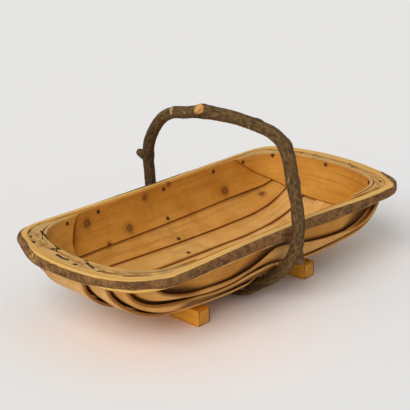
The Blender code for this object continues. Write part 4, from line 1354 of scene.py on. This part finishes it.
# Pale or lichened spots of the branch in the hull's frame: (centre, radius, strength)
BRANCH_SPOTS = (
    ((0.004, 0.0868, 0.2290), 0.0054, 0.8), ((0.003, 0.085, 0.2235), 0.0045, 0.8),
    ((0.004, -0.0560, 0.2350), 0.0048, 0.8), ((0.004, -0.1238, 0.1782), 0.0054, 0.4),
    ((0.004, -0.1207, 0.1681), 0.0054, 0.72), ((0.004, 0.060, 0.2290), 0.0033, 0.8),
)
BRANCH = (0.170, 0.095, 0.034)
BRANCH_DARK = (0.058, 0.031, 0.012)
BRANCH_PALE = (0.31, 0.195, 0.080)
BRANCH_FURROW = (0.028, 0.014, 0.006)
BRANCH_SPECK = (0.26, 0.18, 0.09)
LICHEN = (0.52, 0.33, 0.15)
# Painted shade on the far leg
FAR_LEG_SHADE = (0.020, 0.011, 0.005)
SAWN_WOOD = ((0.60, 0.31, 0.10), (0.38, 0.17, 0.045))
# Radius at which the bark's pattern is wrapped round the branch
BARK_WRAP = 0.008


def branch_finish():
    """Olive brown bark with long paler streaks, painted shade on the far leg, and pale wood where it is sawn.
    """
    finish = Finish("branch_bark")
    grain = finish.attribute("grain", "Vector")
    sawn = finish.attribute("sawn")
    angle = finish.part(grain, 1)
    round_about = finish.node("ShaderNodeCombineXYZ", {}, {
        0: finish.part(grain, 0), 1: angle.maths("COSINE") * BARK_WRAP, 2: angle.maths("SINE") * BARK_WRAP})
    streak = finish.drawn_out(round_about, (45, 420, 420), 4.0, 0.66)
    plate = finish.drawn_out(round_about, (130, 260, 260), rough=0.65)
    pore = finish.noise(650.0)
    wobble = finish.noise(260.0, 4.0, 0.65) * 0.008 - 0.0040
    spots = [(finish.near(in_scene(place), radius, wobble).rise(0.2, 0.5) * strength, LICHEN)
             for place, radius, strength in BRANCH_SPOTS]
    colour = finish.coats(
        BRANCH_DARK,
        (plate.rise(0.34, 0.68), BRANCH),
        (streak.rise(0.55, 0.76) * 0.6, BRANCH_PALE),
        (streak.rise(0.44, 0.28) * 0.7, BRANCH_FURROW),
        (pore.rise(0.60, 0.72) * 0.5, BRANCH_SPECK),
        *spots,
        # Painted shade on the far leg
        (finish.part(finish.here, 1).rise(0.095, 0.125) * 0.5, FAR_LEG_SHADE))
    cut = finish.mix(finish.noise(180.0, 2.0, 0.5).rise(0.4, 0.65), *SAWN_WOOD)
    finish.bump((streak + plate * 0.8 + pore * 0.3) * (1 - sawn), 0.0012)
    return finish.finish(finish.mix(sawn, colour, cut), 0.72, 0.12)


# The sides' golden colours are painted brighter, standing in for light bounced onto the feet
FOOT_WOOD_AND_BOUNCE = ((0.95, 0.46, 0.055), (0.76, 0.33, 0.034))
FOOT_LINE = (0.34, 0.13, 0.02)
FOOT_END = ((0.70, 0.31, 0.045), (0.40, 0.16, 0.022))


def foot_finish():
    """Golden planed batten, its sides painted brighter for the light bounced onto them, with its end grain at
    both ends.
    """
    finish = Finish("foot_wood")
    grain = finish.attribute("grain", "Vector")
    fibre = finish.drawn_out(grain, (30, 1100, 700), 4.0)
    streak = finish.drawn_out(grain, (7, 260, 200), bend=0.5)
    colour = finish.mix(streak.rise(0.40, 0.70) * 0.7, *FOOT_WOOD_AND_BOUNCE)
    colour = finish.mix(fibre.rise(0.56, 0.78) * 0.45, colour, FOOT_LINE)
    out = abs(finish.part(finish.here, 1) - float(TRUG_PLACE[1]))
    end = out.rise(FOOT_HALF_LENGTH - 0.0010, FOOT_HALF_LENGTH - 0.0004)
    pore = finish.noise(420.0)
    across = finish.drawn_out(finish.here, (60, 60, 420), 2.0, 0.5, 0.6)
    cut = finish.mix((pore * 0.6 + across * 0.6).rise(0.5, 0.78) * 0.7, *FOOT_END)
    finish.bump(fibre * 0.6 + end * pore, 0.0004)
    return finish.finish(finish.mix(end, colour, cut), 0.5, 0.15)


RUST = ((0.050, 0.019, 0.005), (0.13, 0.050, 0.012))


def iron_finish():
    """Dark nail heads, brown where they have rusted."""
    finish = Finish("nail_iron")
    rust = finish.noise(900.0)
    finish.bump(rust, 0.0003)
    return finish.finish(finish.mix(rust.rise(0.4, 0.65), *RUST), 0.8, 0.10)


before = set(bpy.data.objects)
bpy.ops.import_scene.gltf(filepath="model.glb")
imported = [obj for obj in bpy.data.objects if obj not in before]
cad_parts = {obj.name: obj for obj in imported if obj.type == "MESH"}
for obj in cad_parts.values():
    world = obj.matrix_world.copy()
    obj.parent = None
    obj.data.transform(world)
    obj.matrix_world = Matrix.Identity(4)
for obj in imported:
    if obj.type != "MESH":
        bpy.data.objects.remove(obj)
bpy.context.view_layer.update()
foot_corners = [corner for side in ("left_foot", "right_foot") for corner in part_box(side)]
TRUG_PLACE = np.array([sum(corner[k] for corner in foot_corners) / 4 for k in range(2)] + [0.0])

make_camera()
make_light()
make_floor()
iron = iron_finish()
nails = {name: nail_line(node) for name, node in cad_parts.items() if "nail" in name}
wood = willow([tuple(float(v) for v in head) for head, axis, length in nails.values()])
make_boards(wood)
linings = [
    make_lining("left_end_lining", wood, 0.2, *LEFT_LINING),
    make_lining("right_end_lining", wood, 0.08, *RIGHT_LINING),
]
for name, line in nails.items():
    make_nail(name, line, iron, linings)
make_rim(rim_finish())
make_handle(branch_finish())
foot_wood = foot_finish()
make_foot("left_foot", -FOOT_X, foot_wood)
make_foot("right_foot", FOOT_X, foot_wood)
